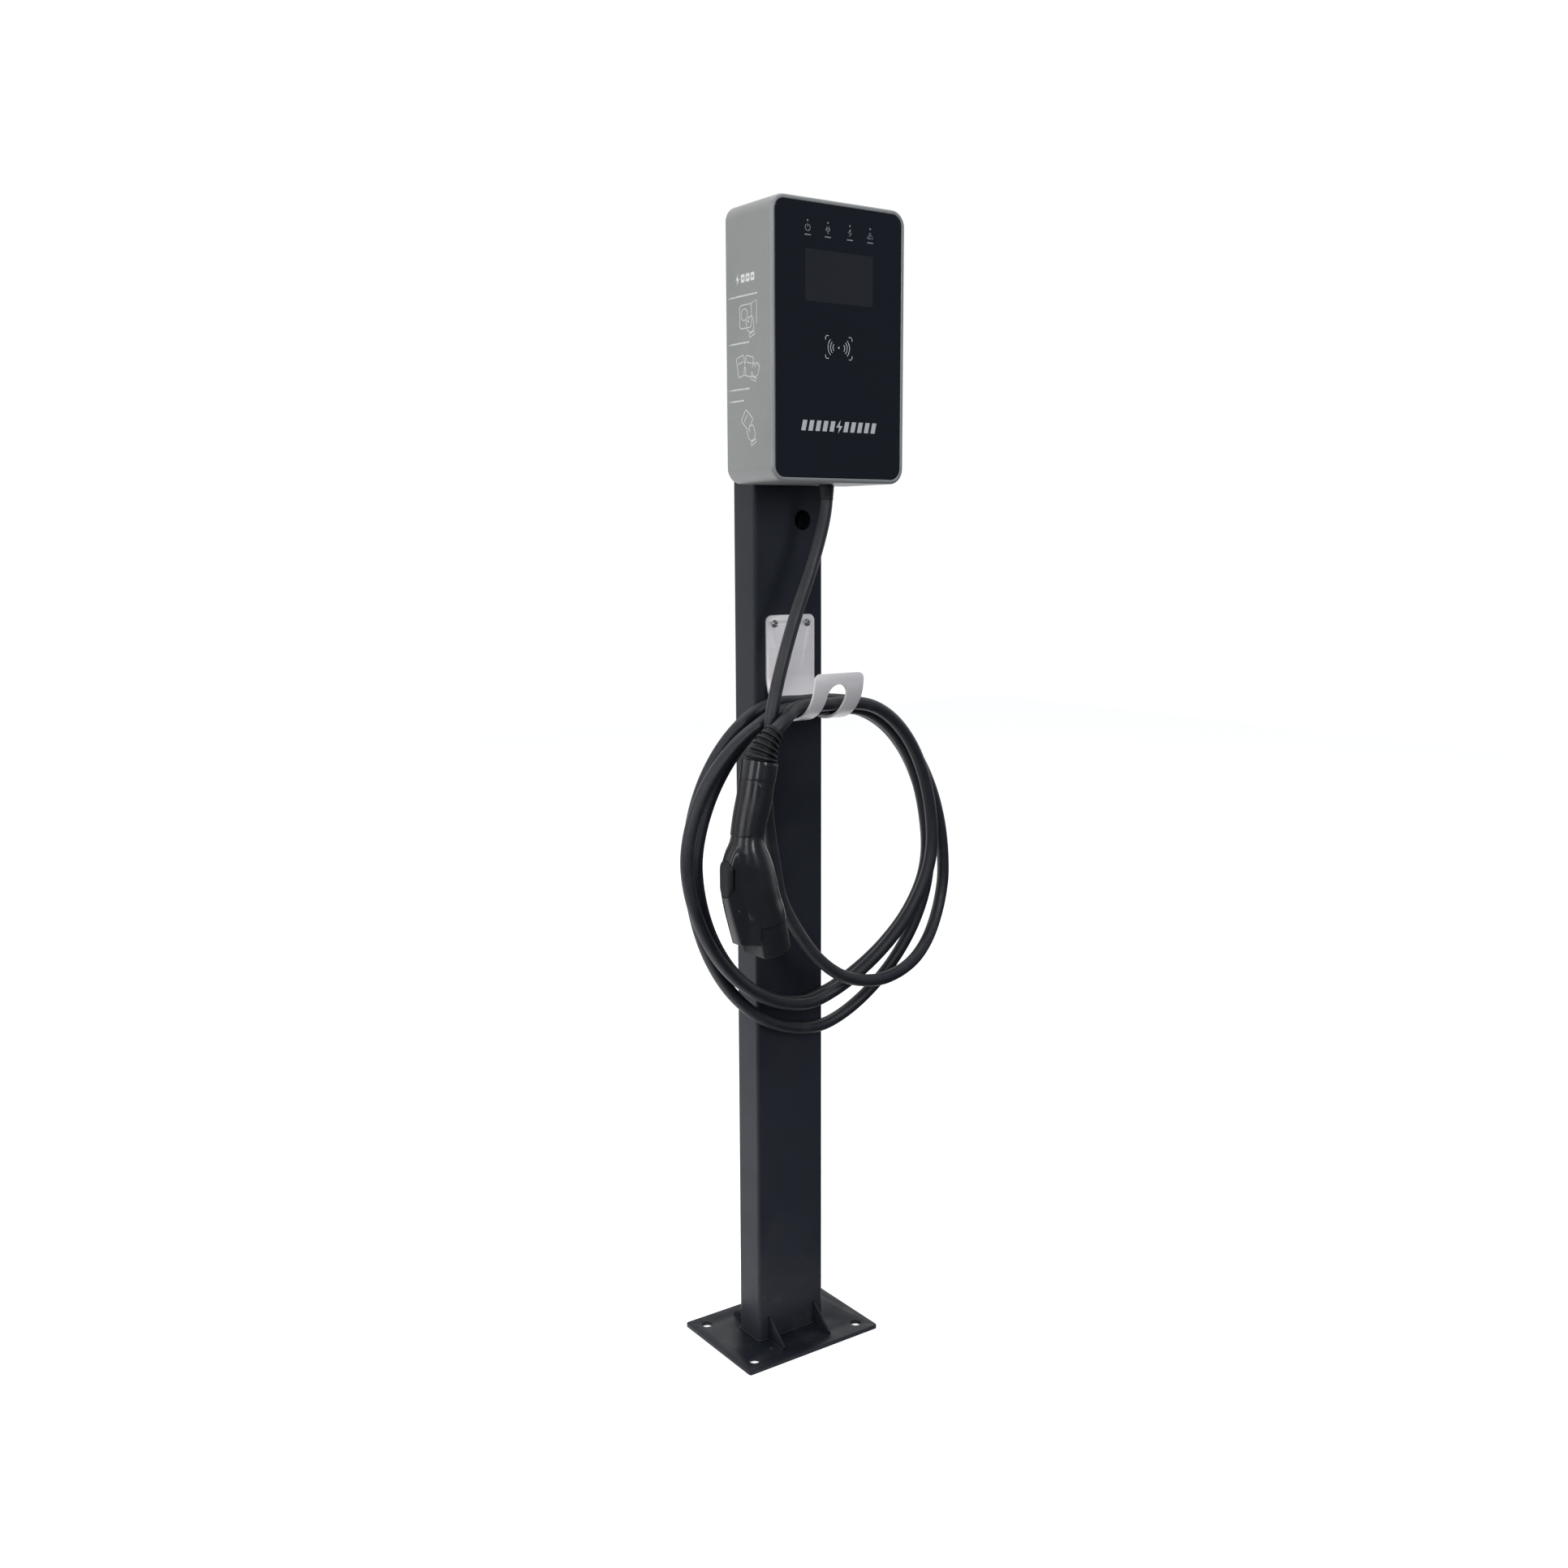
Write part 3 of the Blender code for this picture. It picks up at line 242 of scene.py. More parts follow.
class Finish:
    """A Principled material with small helpers for its procedural detail."""

    def __init__(self, name, colour, roughness, metallic=0.0, specular=0.5):
        self.material = bpy.data.materials.new(name)
        self.material.use_nodes = True
        self.tree = self.material.node_tree
        self.shader = self.tree.nodes["Principled BSDF"]
        self.colour = (*colour, 1.0)
        self.shader.inputs["Base Color"].default_value = self.colour
        self.shader.inputs["Roughness"].default_value = roughness
        self.shader.inputs["Metallic"].default_value = metallic
        self.shader.inputs["Specular IOR Level"].default_value = specular
        self.place = self.node("TexCoord", "Object")
        self.bumped = None

    def node(self, kind, output, inputs=None, **settings):
        return add_node(self.tree, kind, output, inputs, **settings)

    def drive(self, socket, value):
        """Link an output to one of the shader's sockets."""
        self.tree.links.new(value, self.shader.inputs[socket])

    def noise(self, scale, detail=3, stretch=EVENLY, rough=0.5):
        place = self.node("Mapping", "Vector", {"Vector": self.place, "Scale": stretch})
        return self.node("TexNoise", "Fac", {"Vector": place, "Scale": scale, "Detail": detail,
                                             "Roughness": rough})

    def cells(self, scale, feature="F1"):
        return self.node("TexVoronoi", "Distance", {"Vector": self.place, "Scale": scale},
                         feature=feature)

    def window(self, value, low, high):
        """0 below low, 1 above high, and smooth between."""
        return self.node("MapRange", "Result", {"Value": value, "From Min": low, "From Max": high},
                         interpolation_type="SMOOTHSTEP")

    def product(self, first, second):
        return self.node("Math", "Value", {0: first, 1: second}, operation="MULTIPLY")

    def along(self, direction):
        """How far a point lies along a direction, in metres."""
        return self.node("VectorMath", "Value", {0: self.place, 1: direction},
                         operation="DOT_PRODUCT")

    def tint(self, mask, colour, share=1.0):
        """Mix a share of another colour over the base colour where the mask is 1."""
        if share < 1.0:
            mask = self.product(mask, share)
        self.colour = self.node("Mix", "Result", {"A": self.colour, "B": (*colour, 1.0),
                                                  "Factor": mask}, data_type="RGBA")
        self.drive("Base Color", self.colour)

    def patches(self, colour, scale, detail, low, high, share=1.0, stretch=EVENLY, rough=0.5):
        """Soft-edged patches of another colour where a noise goes from low to high."""
        self.tint(self.window(self.noise(scale, detail, stretch, rough), low, high), colour, share)

    def vary_roughness(self, low, high, scale, detail=3, stretch=EVENLY):
        """Let the roughness follow a noise, which mostly lies between 0.25 and 0.75."""
        noise = self.noise(scale, detail, stretch)
        self.drive("Roughness", self.node("MapRange", "Result", {
            "Value": noise, "From Min": 0.25, "From Max": 0.75, "To Min": low, "To Max": high}))

    def bump(self, value, depth, strength):
        """Raise the surface by up to depth metres where the value is 1."""
        inputs = {"Height": value, "Distance": depth, "Strength": strength}
        if self.bumped is not None:
            inputs["Normal"] = self.bumped
        self.bumped = self.node("Bump", "Normal", inputs)
        self.drive("Normal", self.bumped)

    def grain(self, depth, strength, scale, detail=2, stretch=EVENLY):
        """A fine unevenness of up to depth metres."""
        self.bump(self.noise(scale, detail, stretch), depth, strength)


def post_paint():
    f = Finish("post_paint", (0.02, 0.0225, 0.029), 0.34, specular=0.15)
    f.patches((0.011, 0.0128, 0.0185), 5, 4, 0.42, 0.72)
    f.patches((0.026, 0.027, 0.03), 26, 5, 0.45, 0.75, 0.3, (1, 1, 0.5))
    splashes = f.window(f.noise(34, 6, rough=0.7), 0.5, 0.72)
    near_ground = f.window(f.along((0, 0, 1)), 0.16, 0.0)
    f.tint(f.product(near_ground, splashes), (0.06, 0.058, 0.056), 0.45)
    f.vary_roughness(0.28, 0.44, 14, 4)
    f.grain(0.00006, 0.6, 850)
    f.grain(0.0001, 0.35, 120)
    return f


def foot_paint_shaded():
    """The post's paint on the foot plate, with chips and pale scrapes near the welds. Its base colour
    is darker than the post's, which is painted shade; the chips and scrapes are real wear.
    """
    # painted shade: the same paint as the post, given a darker base colour on the foot plate, gussets
    # and welds
    f = Finish("foot_paint_shaded", (0.0095, 0.011, 0.016), 0.38, specular=0.18)
    f.patches((0.03, 0.03, 0.032), 30, 6, 0.48, 0.74, 0.5, rough=0.7)
    f.patches((0.1, 0.098, 0.095), 75, 5, 0.68, 0.72, 0.5, (1, 2.5, 1))
    f.vary_roughness(0.3, 0.55, 20, 4)
    f.grain(0.00008, 0.6, 700)
    f.grain(0.00016, 0.4, 90, 3)
    return f


def housing_silver():
    f = Finish("housing_silver", (0.243, 0.249, 0.243), 0.42, metallic=0.25, specular=0.45)
    f.patches((0.4, 0.4, 0.39), 1500, 1, 0.55, 0.75, 0.45)
    f.patches((0.225, 0.23, 0.225), 6, 3, 0.45, 0.8)
    f.patches((0.22, 0.22, 0.21), 38, 5, 0.58, 0.8, 0.25, (1, 1, 0.4))
    f.vary_roughness(0.36, 0.5, 45)
    f.grain(0.00004, 0.5, 1100)
    return f


def panel_glass():
    f = Finish("panel_glass", (0.004, 0.0046, 0.007), 0.07, specular=0.4)
    f.patches((0.0034, 0.0042, 0.007), 9, 4, 0.45, 0.75, 0.5)
    f.vary_roughness(0.05, 0.13, 18, 5, (1, 1, 0.6))
    f.grain(0.0002, 0.25, 7, 1)
    return f


def screen_glass():
    f = Finish("screen_glass", (0.0125, 0.013, 0.0145), 0.14)
    f.patches((0.0145, 0.015, 0.0165), 11, 2, 0.4, 0.8)
    grid = f.window(f.cells(900, "DISTANCE_TO_EDGE"), 0.0, 0.08)
    f.tint(grid, (0.006, 0.0064, 0.008), 0.25)
    f.grain(0.00001, 0.3, 400, 1)
    return f


def print_ink(name, colour):
    f = Finish(name, colour, 0.45)
    f.patches([part * 0.6 for part in colour], 260, 4, 0.6, 0.78, 0.3)
    f.grain(0.00001, 0.4, 900, 1)
    return f


def gloss_plastic():
    f = Finish("gloss_plastic", (0.0125, 0.013, 0.015), 0.23, specular=0.36)
    f.patches((0.015, 0.0154, 0.0172), 12, 4, 0.45, 0.8)
    f.patches((0.03, 0.031, 0.034), 30, 3, 0.7, 0.74, 0.08, (1, 1, 6))
    f.vary_roughness(0.15, 0.27, 35, 5)
    f.grain(0.00002, 0.5, 1400, 1)
    f.grain(0.00006, 0.25, 60)
    return f


def matt_plastic():
    f = Finish("matt_plastic", (0.0095, 0.0098, 0.0115), 0.4, specular=0.22)
    f.patches((0.0125, 0.0128, 0.0145), 18, 4, 0.45, 0.8)
    f.vary_roughness(0.38, 0.58, 60, 4)
    f.grain(0.00006, 0.7, 1200)
    return f


def grip_rubber():
    f = Finish("grip_rubber", (0.0062, 0.0062, 0.0078), 0.28, specular=0.38)
    f.patches((0.0085, 0.0085, 0.01), 25, 4, 0.5, 0.8)
    f.vary_roughness(0.22, 0.36, 40, 4)
    f.bump(f.cells(1300), 0.00005, 0.6)
    return f


def boot_rubber():
    f = Finish("boot_rubber", (0.0065, 0.0067, 0.0082), 0.45, specular=0.28)
    f.patches((0.013, 0.013, 0.015), 40, 5, 0.5, 0.75)
    f.vary_roughness(0.38, 0.58, 70, 4)
    f.grain(0.00008, 0.6, 900)
    return f


def cable_jacket():
    f = Finish("cable_jacket", (0.0075, 0.0085, 0.0125), 0.4, specular=0.45)
    f.patches((0.0125, 0.0135, 0.018), 9, 5, 0.45, 0.75)
    f.patches((0.028, 0.028, 0.031), 60, 6, 0.5, 0.78, 0.4, rough=0.65)
    f.vary_roughness(0.36, 0.58, 30, 5)
    f.grain(0.00005, 0.5, 1000)
    f.grain(0.00015, 0.3, 45)
    return f


def stainless():
    """Brushed sheet: the brush marks run along X."""
    f = Finish("stainless", (0.79, 0.755, 0.745), 0.4, metallic=0.3)
    f.patches((0.73, 0.7, 0.69), 10, 4, 0.4, 0.8)
    f.tint(f.noise(260, 2, (0.05, 1, 1)), (0.85, 0.815, 0.805), 0.5)
    f.vary_roughness(0.28, 0.46, 420, 2, (0.04, 1, 1))
    f.grain(0.00003, 0.5, 900, 1, (0.03, 1, 1))
    return f


def zinc_steel():
    f = Finish("zinc_steel", (0.24, 0.24, 0.23), 0.36, metallic=1.0)
    f.tint(f.window(f.cells(260), 0.2, 0.8), (0.33, 0.33, 0.32))
    f.vary_roughness(0.28, 0.48, 120)
    f.grain(0.00004, 0.5, 600)
    return f


def board_green():
    f = Finish("board_green", (0.01, 0.085, 0.032), 0.42)
    tracks = f.window(f.cells(180, "DISTANCE_TO_EDGE"), 0.03, 0.05)
    f.tint(tracks, (0.006, 0.05, 0.022), 0.5)
    f.tint(f.window(f.cells(420), 0.16, 0.12), (0.55, 0.5, 0.38))
    f.bump(tracks, 0.00004, 0.6)
    return f


def dark_component():
    f = Finish("dark_component", (0.02, 0.02, 0.022), 0.5)
    f.patches((0.03, 0.03, 0.032), 50, 4, 0.45, 0.75)
    f.vary_roughness(0.42, 0.6, 90)
    f.grain(0.00006, 0.6, 1000)
    return f


def contact_silver():
    f = Finish("contact_silver", (0.74, 0.72, 0.68), 0.22, metallic=1.0)
    f.patches((0.55, 0.52, 0.47), 300, 4, 0.5, 0.75)
    f.vary_roughness(0.16, 0.34, 400)
    f.grain(0.00002, 0.5, 1500, 1)
    return f


def black_seal():
    f = Finish("black_seal", (0.006, 0.006, 0.007), 0.6)
    f.patches((0.011, 0.011, 0.012), 200, 3, 0.5, 0.8)
    f.grain(0.00005, 0.5, 1000)
    return f


FINISHES = {
    "post": post_paint(), "foot": foot_paint_shaded(), "silver": housing_silver(),
    "glass": panel_glass(), "screen": screen_glass(), "gloss": gloss_plastic(),
    "matt": matt_plastic(), "grip": grip_rubber(), "boot": boot_rubber(),
    "jacket": cable_jacket(), "stainless": stainless(), "zinc": zinc_steel(),
    "board": board_green(), "component": dark_component(), "contact": contact_silver(),
    "seal": black_seal(), "panel_ink": print_ink("panel_ink", (0.46, 0.47, 0.49)),
    "dim_ink": print_ink("dim_ink", (0.24, 0.25, 0.27)),
    "side_ink": print_ink("side_ink", (0.62, 0.63, 0.61)),
}


def set_material(obj, finish):
    obj.data.materials.clear()
    obj.data.materials.append(FINISHES[finish].material)


# ---- mesh helpers ----
def keep(obj, finish, body="root", replaces=()):
    """Give a piece its finish, the body it rides on and the CAD nodes that it stands for."""
    set_material(obj, finish)
    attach(obj, body)
    if replaces:
        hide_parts(*replaces)
    return obj


def link(name, data):
    obj = bpy.data.objects.new(name, data)
    bpy.context.scene.collection.objects.link(obj)
    return obj


def smooth(mesh, angle):
    mesh.shade_smooth()
    mesh.set_sharp_from_angle(angle=math.radians(angle))


def from_bmesh(name, work, angle=35, place=None, turn=None):
    """An object from a bmesh, turned about the origin and then moved to its place."""
    if place is not None:
        matrix = Matrix.LocRotScale(Vector(place), turn, None)
        bmesh.ops.transform(work, matrix=matrix, verts=work.verts)
    bmesh.ops.recalc_face_normals(work, faces=work.faces)
    mesh = bpy.data.meshes.new(name)
    work.to_mesh(mesh)
    work.free()
    smooth(mesh, angle)
    return link(name, mesh)


def loft(name, loops, closed_loops=True, closed_path=False, caps=False, angle=35, place=None,
         turn=None):
    """Skin a list of loops with the same number of points each."""
    work = bmesh.new()
    rows = [[work.verts.new(point) for point in loop] for loop in loops]
    count = len(rows[0])
    pairs = list(zip(rows, rows[1:]))
    if closed_path:
        pairs.append((rows[-1], rows[0]))
    for first, second in pairs:
        for i in range(count if closed_loops else count - 1):
            j = (i + 1) % count
            work.faces.new((first[i], first[j], second[j], second[i]))
    if caps:
        work.faces.new(rows[0])
        work.faces.new(reversed(rows[-1]))
    return from_bmesh(name, work, angle, place, turn)


def rounded_rectangle(width, height, radius, centre=(0, 0), steps=10):
    points = []
    for sign_x, sign_y, start in ((1, 1, 0), (-1, 1, 90), (-1, -1, 180), (1, -1, 270)):
        corner = (centre[0] + sign_x * (width / 2 - radius),
                  centre[1] + sign_y * (height / 2 - radius))
        points += arc(corner, radius, start, start + 90, steps + 1)
    return points


def arc(centre, radius, start, end, count=10):
    """Points at even angles in degrees, the first and the last one included."""
    return [(centre[0] + radius * math.cos(angle), centre[1] + radius * math.sin(angle))
            for angle in np.radians(np.linspace(start, end, count))]


def circle(radius, centre=(0, 0), steps=48):
    return arc(centre, radius, 0, 360, steps + 1)[:-1]


def level_ring(radius, centre, steps=48):
    """A circle in a level plane."""
    return [(x, y, centre[2]) for x, y in circle(radius, centre, steps)]


def outline_curve(name, loops, extrude):
    curve = bpy.data.curves.new(name, "CURVE")
    curve.dimensions = "2D"
    curve.fill_mode = "BOTH"
    curve.extrude = extrude
    for loop in loops:
        spline = curve.splines.new("POLY")
        spline.points.add(len(loop) - 1)
        spline.use_cyclic_u = True
        for point, (x, y) in zip(spline.points, loop):
            point.co = (x, y, 0, 1)
    return link(name, curve)


def tube(name, points, radius, resolution):
    """A round rod along a line of points."""
    curve = bpy.data.curves.new(name, "CURVE")
    curve.dimensions = "3D"
    curve.bevel_depth = radius
    curve.bevel_resolution = resolution
    curve.use_fill_caps = True
    spline = curve.splines.new("POLY")
    spline.points.add(len(points) - 1)
    for point, place in zip(spline.points, points):
        point.co = (*place, 1)
    spline.use_smooth = True
    return link(name, curve)


def baked(obj):
    """The object's evaluated mesh in world space, welded, as a plain mesh. The object goes."""
    bpy.context.view_layer.update()
    mesh = bpy.data.meshes.new_from_object(obj.evaluated_get(
        bpy.context.evaluated_depsgraph_get()))
    mesh.transform(obj.matrix_world)
    bpy.data.objects.remove(obj, do_unlink=True)
    work = bmesh.new()
    work.from_mesh(mesh)
    bmesh.ops.remove_doubles(work, verts=work.verts, dist=1e-6)
    work.to_mesh(mesh)
    work.free()
    return mesh


def settle(obj, angle=35):
    """Replace an object with modifiers or a transform by its final mesh."""
    name = obj.name
    mesh = baked(obj)
    mesh.name = name
    smooth(mesh, angle)
    return link(name, mesh)


def round_edges(obj, width, angle):
    """Bevel the edges that are sharper than an angle in degrees."""
    bevel = obj.modifiers.new("edge", "BEVEL")
    bevel.width = width
    bevel.segments = 2
    bevel.limit_method = "ANGLE"
    bevel.angle_limit = math.radians(angle)


UPRIGHT = Euler((math.pi / 2, 0, 0))
ON_SIDE = Euler((math.pi / 2, 0, math.pi / 2))
LEFT_SIDE = Euler((math.pi / 2, 0, -math.pi / 2))   # x runs towards -Y, y goes up, faces -X


def slab(name, loops, thickness, place, turn=None, edge=0.0004, angle=35):
    """A plate from a flat outline with its edges rounded."""
    flat = outline_curve(name, loops, thickness / 2)
    flat.location = place
    if turn is not None:
        flat.rotation_euler = turn
    solid = settle(flat, angle)
    if edge:
        round_edges(solid, edge, 40)
        solid = settle(solid, angle)
    return solid


def subtract(obj, cutter, angle=35):
    modifier = obj.modifiers.new("cut", "BOOLEAN")
    modifier.operation = "DIFFERENCE"
    modifier.object = cutter
    modifier.solver = "EXACT"
    result = settle(obj, angle)
    bpy.data.objects.remove(cutter, do_unlink=True)
    return result


def weighted(obj):
    """Keep large flat faces flat in shading beside their rounded edges."""
    modifier = obj.modifiers.new("flat_faces", "WEIGHTED_NORMAL")
    modifier.keep_sharp = True
    modifier.weight = 100
    return obj


# ---- cable ----
def ease(share):
    return share ** 3 * (10 - 15 * share + 6 * share * share)


def quarter_turn(start, end, leaves_level, roundness):
    """Points of a quarter of a (super)ellipse in the XZ plane, while Y eases from start to end."""
    points = []
    for step in range(1, QUARTER_STEPS + 1):
        share = step / QUARTER_STEPS
        early = math.sin(math.pi / 2 * share) ** (2 / roundness)
        late = 1 - max(math.cos(math.pi / 2 * share), 0.0) ** (2 / roundness)
        in_x, in_z = (early, late) if leaves_level else (late, early)
        points.append([a + (b - a) * gone for a, b, gone in zip(start, end, (in_x, ease(share), in_z))])
    return points


def cable_route():
    here = LOOPS[0][1]
    route = [*DROP, here]
    for kind, (x, y, z), roundness in LOOPS[1:]:
        if kind == "hook":
            route += quarter_turn(here, (ON_HOOK, y, z), False, roundness)
            here = (-ON_HOOK, y, z)
            route += [(x, y, z), here]
        else:
            route += quarter_turn(here, (x, y, z), kind == "side", roundness)
            here = (x, y, z)
    return route + TO_PLUG


def between(first, second, first_time, second_time, time):
    return first + (second - first) * ((time - first_time) / (second_time - first_time))


def catmull_rom(a, b, c, d, share):
    """The point at a share of the way from b to c on a centripetal Catmull-Rom curve."""
    at_b = math.sqrt(np.linalg.norm(b - a))
    at_c = at_b + math.sqrt(np.linalg.norm(c - b))
    at_d = at_c + math.sqrt(np.linalg.norm(d - c))
    time = at_b + (at_c - at_b) * share
    middle = between(b, c, at_b, at_c, time)
    near_b = between(between(a, b, 0, at_b, time), middle, 0, at_c, time)
    near_c = between(middle, between(c, d, at_c, at_d, time), at_b, at_d, time)
    return between(near_b, near_c, at_b, at_c, time)


def smooth_line(points, spacing):
    """Evenly spaced points on a smooth curve through the given ones, and its length."""
    points = np.array(points, dtype=float)
    ends = np.vstack([2 * points[0] - points[1], points, 2 * points[-1] - points[-2]])
    dense = [catmull_rom(*ends[i:i + 4], share) for i in range(len(points) - 1)
             for share in np.linspace(0, 1, 16, endpoint=False)]
    dense = np.array(dense + [points[-1]])
    along = np.concatenate([[0.0], np.cumsum(np.linalg.norm(np.diff(dense, axis=0), axis=1))])
    count = int(along[-1] / spacing) + 1
    even = np.linspace(0.0, along[-1], count)
    columns = [np.interp(even, along, dense[:, axis]) for axis in range(points.shape[1])]
    return np.stack(columns, axis=1), along[-1]


def build_cable():
    points, length = smooth_line(cable_route(), CABLE_SPACING)
    cable = tube("cable", points, CABLE_R, 6)
    keep(cable, "jacket", replaces=["charging_cable"])
    return cable, length


# ---- post, foot plate and welds ----
def build_foot():
    anchors = [circle(ANCHOR_R, (x, y), 32) for x in (-ANCHOR_X, ANCHOR_X)
               for y in (-ANCHOR_Y, ANCHOR_Y)]
    size = PLATE_HIGH - PLATE_LOW
    outline = rounded_rectangle(size.x, size.y, PLATE_R, steps=4)
    supply_hole = circle(SUPPLY_R, (SUPPLY_X, 0), 32)
    plate = slab("foot_plate", [outline, supply_hole, *anchors], size.z,
                 (PLATE_LOW + PLATE_HIGH) / 2, edge=0.0005)
    keep(plate, "foot", replaces=["base_plate"])
    for number in range(1, 5):
        build_gusset(number)
    size = POST_HIGH - POST_LOW
    outline = rounded_rectangle(size.x + 0.0008, size.y + 0.0008, POST_R, steps=4)
    path = [(x, y, POST_LOW.z + 0.0006) for x, y in outline]
    weld("post_weld", path + path[:1], 0.0017, 20)


def build_gusset(number):
    """A triangle with blunt tips, welded along both sides of its foot and along its back."""
    low, high = corners(f"base_gusset_{number}")
    root, tip = (low.y, high.y) if low.y > 0 else (high.y, low.y)
    blunt = 0.003
    triangle = [(root, low.z), (tip, low.z), (tip, low.z + blunt),
                (root + math.copysign(blunt, tip - root), high.z), (root, high.z)]
    middle = (low.x + high.x) / 2
    gusset = slab(f"gusset_{number}", [triangle], high.x - low.x, (middle, 0, 0), ON_SIDE)
    keep(gusset, "foot", replaces=[f"base_gusset_{number}"])
    z = low.z + 0.0004
    for letter, x, seed in (("a", middle - 0.0018, number), ("b", middle + 0.0018, number + 4)):
        weld(f"gusset_weld_{number}{letter}", [(x, root, z), (x, tip, z)], 0.0011, seed)
    back = [(middle, root, high.z - 0.002), (middle, root, low.z + 0.002)]
    weld(f"gusset_weld_{number}c", back, 0.0014, number + 8)


def weld(name, path, radius, seed):
    """A rippled weld bead along a path."""
    random = np.random.default_rng(seed)
    step = 0.0007
    dense = []
    for first, second in zip(path, path[1:]):
        first, second = Vector(first), Vector(second)
        count = max(2, int((second - first).length / step))
        dense += [first.lerp(second, i / count) for i in range(count)]
    dense.append(Vector(path[-1]))
    bead = tube(name, dense, radius, 2)
    ripples = random.uniform(-0.08, 0.08, len(dense))
    for i, point in enumerate(bead.data.splines[0].points):
        point.radius = 0.92 + 0.13 * math.sin(i * 1.6) + ripples[i]
    keep(bead, "foot")


def build_post_cap():
    low, high = corners("post_cap")
    size = high - low
    under = POST_HIGH.z + GAP
    loops = []
    for inset, z in ((0.003, POST_HIGH.z - 0.01), (0.0025, under), (0.0, under),
                     (0.0, high.z - 0.001), (0.0003, high.z - 0.0003), (0.001, high.z)):
        outline = rounded_rectangle(size.x - 2 * inset, size.y - 2 * inset, POST_R - inset * 0.8,
                                    steps=6)
        loops.append([(x, y, z) for x, y in outline])
    keep(loft("tube_lid", loops, caps=True), "matt", replaces=["post_cap"])


# ---- housing ----
def build_housing():
    size = HOUSING_HIGH - HOUSING_LOW
    middle_z = (HOUSING_LOW.z + HOUSING_HIGH.z) / 2
    front, back = HOUSING_LOW.y, HOUSING_HIGH.y
    fillet, chamfer, inner_r = 0.0032, 0.0006, 0.004
    rim = (size.x - (PANEL_HIGH.x - PANEL_LOW.x)) / 2 - GAP
    floor, inside = front + RECESS_DEPTH, front + FRONT_WALL
    profile = [(0.0008, back), (0.0, back - 0.0008)]
    profile += [(fillet * (1 - math.cos(a)), front + fillet * (1 - math.sin(a)))
                for a in np.linspace(0, math.pi / 2, 7)]
    profile += [(rim - chamfer, front), (rim, front + chamfer), (rim, floor),
                (WINDOW_INSET, floor), (WINDOW_INSET, inside), (HOUSING_WALL, inside),
                (HOUSING_WALL, back)]
    loops = []
    for inset, y in profile:
        radius = max(HOUSING_R - inset, inner_r) if inset <= rim else inner_r
        loops.append(upright_ring(size, inset, radius, y, middle_z))
    shell = loft("casing", loops, closed_path=True, angle=40)
    outlet = loft("outlet_cutter", [level_ring(OUTLET_R, (0, 0, z)) for z in (-0.01, 0.01)],
                  caps=True, place=EXIT)
    shell = weighted(subtract(shell, outlet, 40))
    keep(shell, "silver", replaces=["housing_shell"])


def build_panel():
    size = PANEL_HIGH - PANEL_LOW
    loops = [upright_ring(size, inset, PANEL_R - inset, y, PANEL_MID)
             for inset, y in ((0.0, PANEL_HIGH.y), (0.0, PANEL_Y + 0.0006),
                              (0.0002, PANEL_Y + 0.0002), (0.0007, PANEL_Y))]
    glass = weighted(loft("glass_panel", loops, caps=True))
    keep(glass, "glass", replaces=["front_panel"])


def upright_ring(size, inset, radius, y, middle_z):
    points = rounded_rectangle(size.x - 2 * inset, size.z - 2 * inset, radius)
    return [(x, y, middle_z + z) for x, z in points]


def printed(name, finish, place, turn, strokes=(), fills=(), width=0.0006):
    """Prints as hair-thin plates: strokes are open lines, fills are closed outlines with holes."""
    work = bmesh.new()
    for line in strokes:
        add_ribbon(work, line, width)
    for loops in fills:
        mesh = baked(outline_curve("fill", loops, 0.0))
        work.from_mesh(mesh)
        bpy.data.meshes.remove(mesh)
    bmesh.ops.remove_doubles(work, verts=work.verts, dist=1e-7)
    bmesh.ops.recalc_face_normals(work, faces=work.faces)
    for face in work.faces:
        if face.normal.z < 0:
            face.normal_flip()
    raised = bmesh.ops.extrude_face_region(work, geom=work.faces[:])
    verts = [item for item in raised["geom"] if isinstance(item, bmesh.types.BMVert)]
    bmesh.ops.translate(work, verts=verts, vec=(0, 0, HAIR))
    keep(from_bmesh(name, work, 30, place, turn), finish)


def add_ribbon(work, line, width):
    """A flat band along an open line in the XY plane."""
    points = [Vector((x, y, 0)) for x, y in line]
    left, right = [], []
    for i, point in enumerate(points):
        along = (points[min(i + 1, len(points) - 1)] - points[max(i - 1, 0)]).normalized()
        side = Vector((-along.y, along.x, 0)) * (width / 2)
        left.append(work.verts.new(point + side))
        right.append(work.verts.new(point - side))
    for i in range(len(points) - 1):
        work.faces.new((right[i], right[i + 1], left[i + 1], left[i]))


def shifted(line, move, turn=0.0, scale=1.0):
    c, s = math.cos(math.radians(turn)) * scale, math.sin(math.radians(turn)) * scale
    return [(move[0] + x * c - y * s, move[1] + x * s + y * c) for x, y in line]


def ends_joined(line):
    return line + line[:1]


def bolt_outline(centre, size):
    """A lightning bolt as a closed outline."""
    shape = [(0.12, 0.5), (-0.3, -0.06), (-0.02, -0.06), (-0.12, -0.5), (0.3, 0.06), (0.02, 0.06)]
    return shifted(shape, centre, scale=size)


def print_on_panel(name, finish, **shapes):
    printed(name, finish, (0, PANEL_Y, 0), UPRIGHT, **shapes)


def build_panel_prints():
    screen = rounded_rectangle(0.0942, 0.0552, 0.0008, (-0.0003, 1.3035), 3)
    print_on_panel("screen", "screen", fills=[[screen]])
    print_contactless_mark(-0.001, 1.2284)
    print_status_symbols(1.353)
    print_charge_bar(1.1365, 1.148)


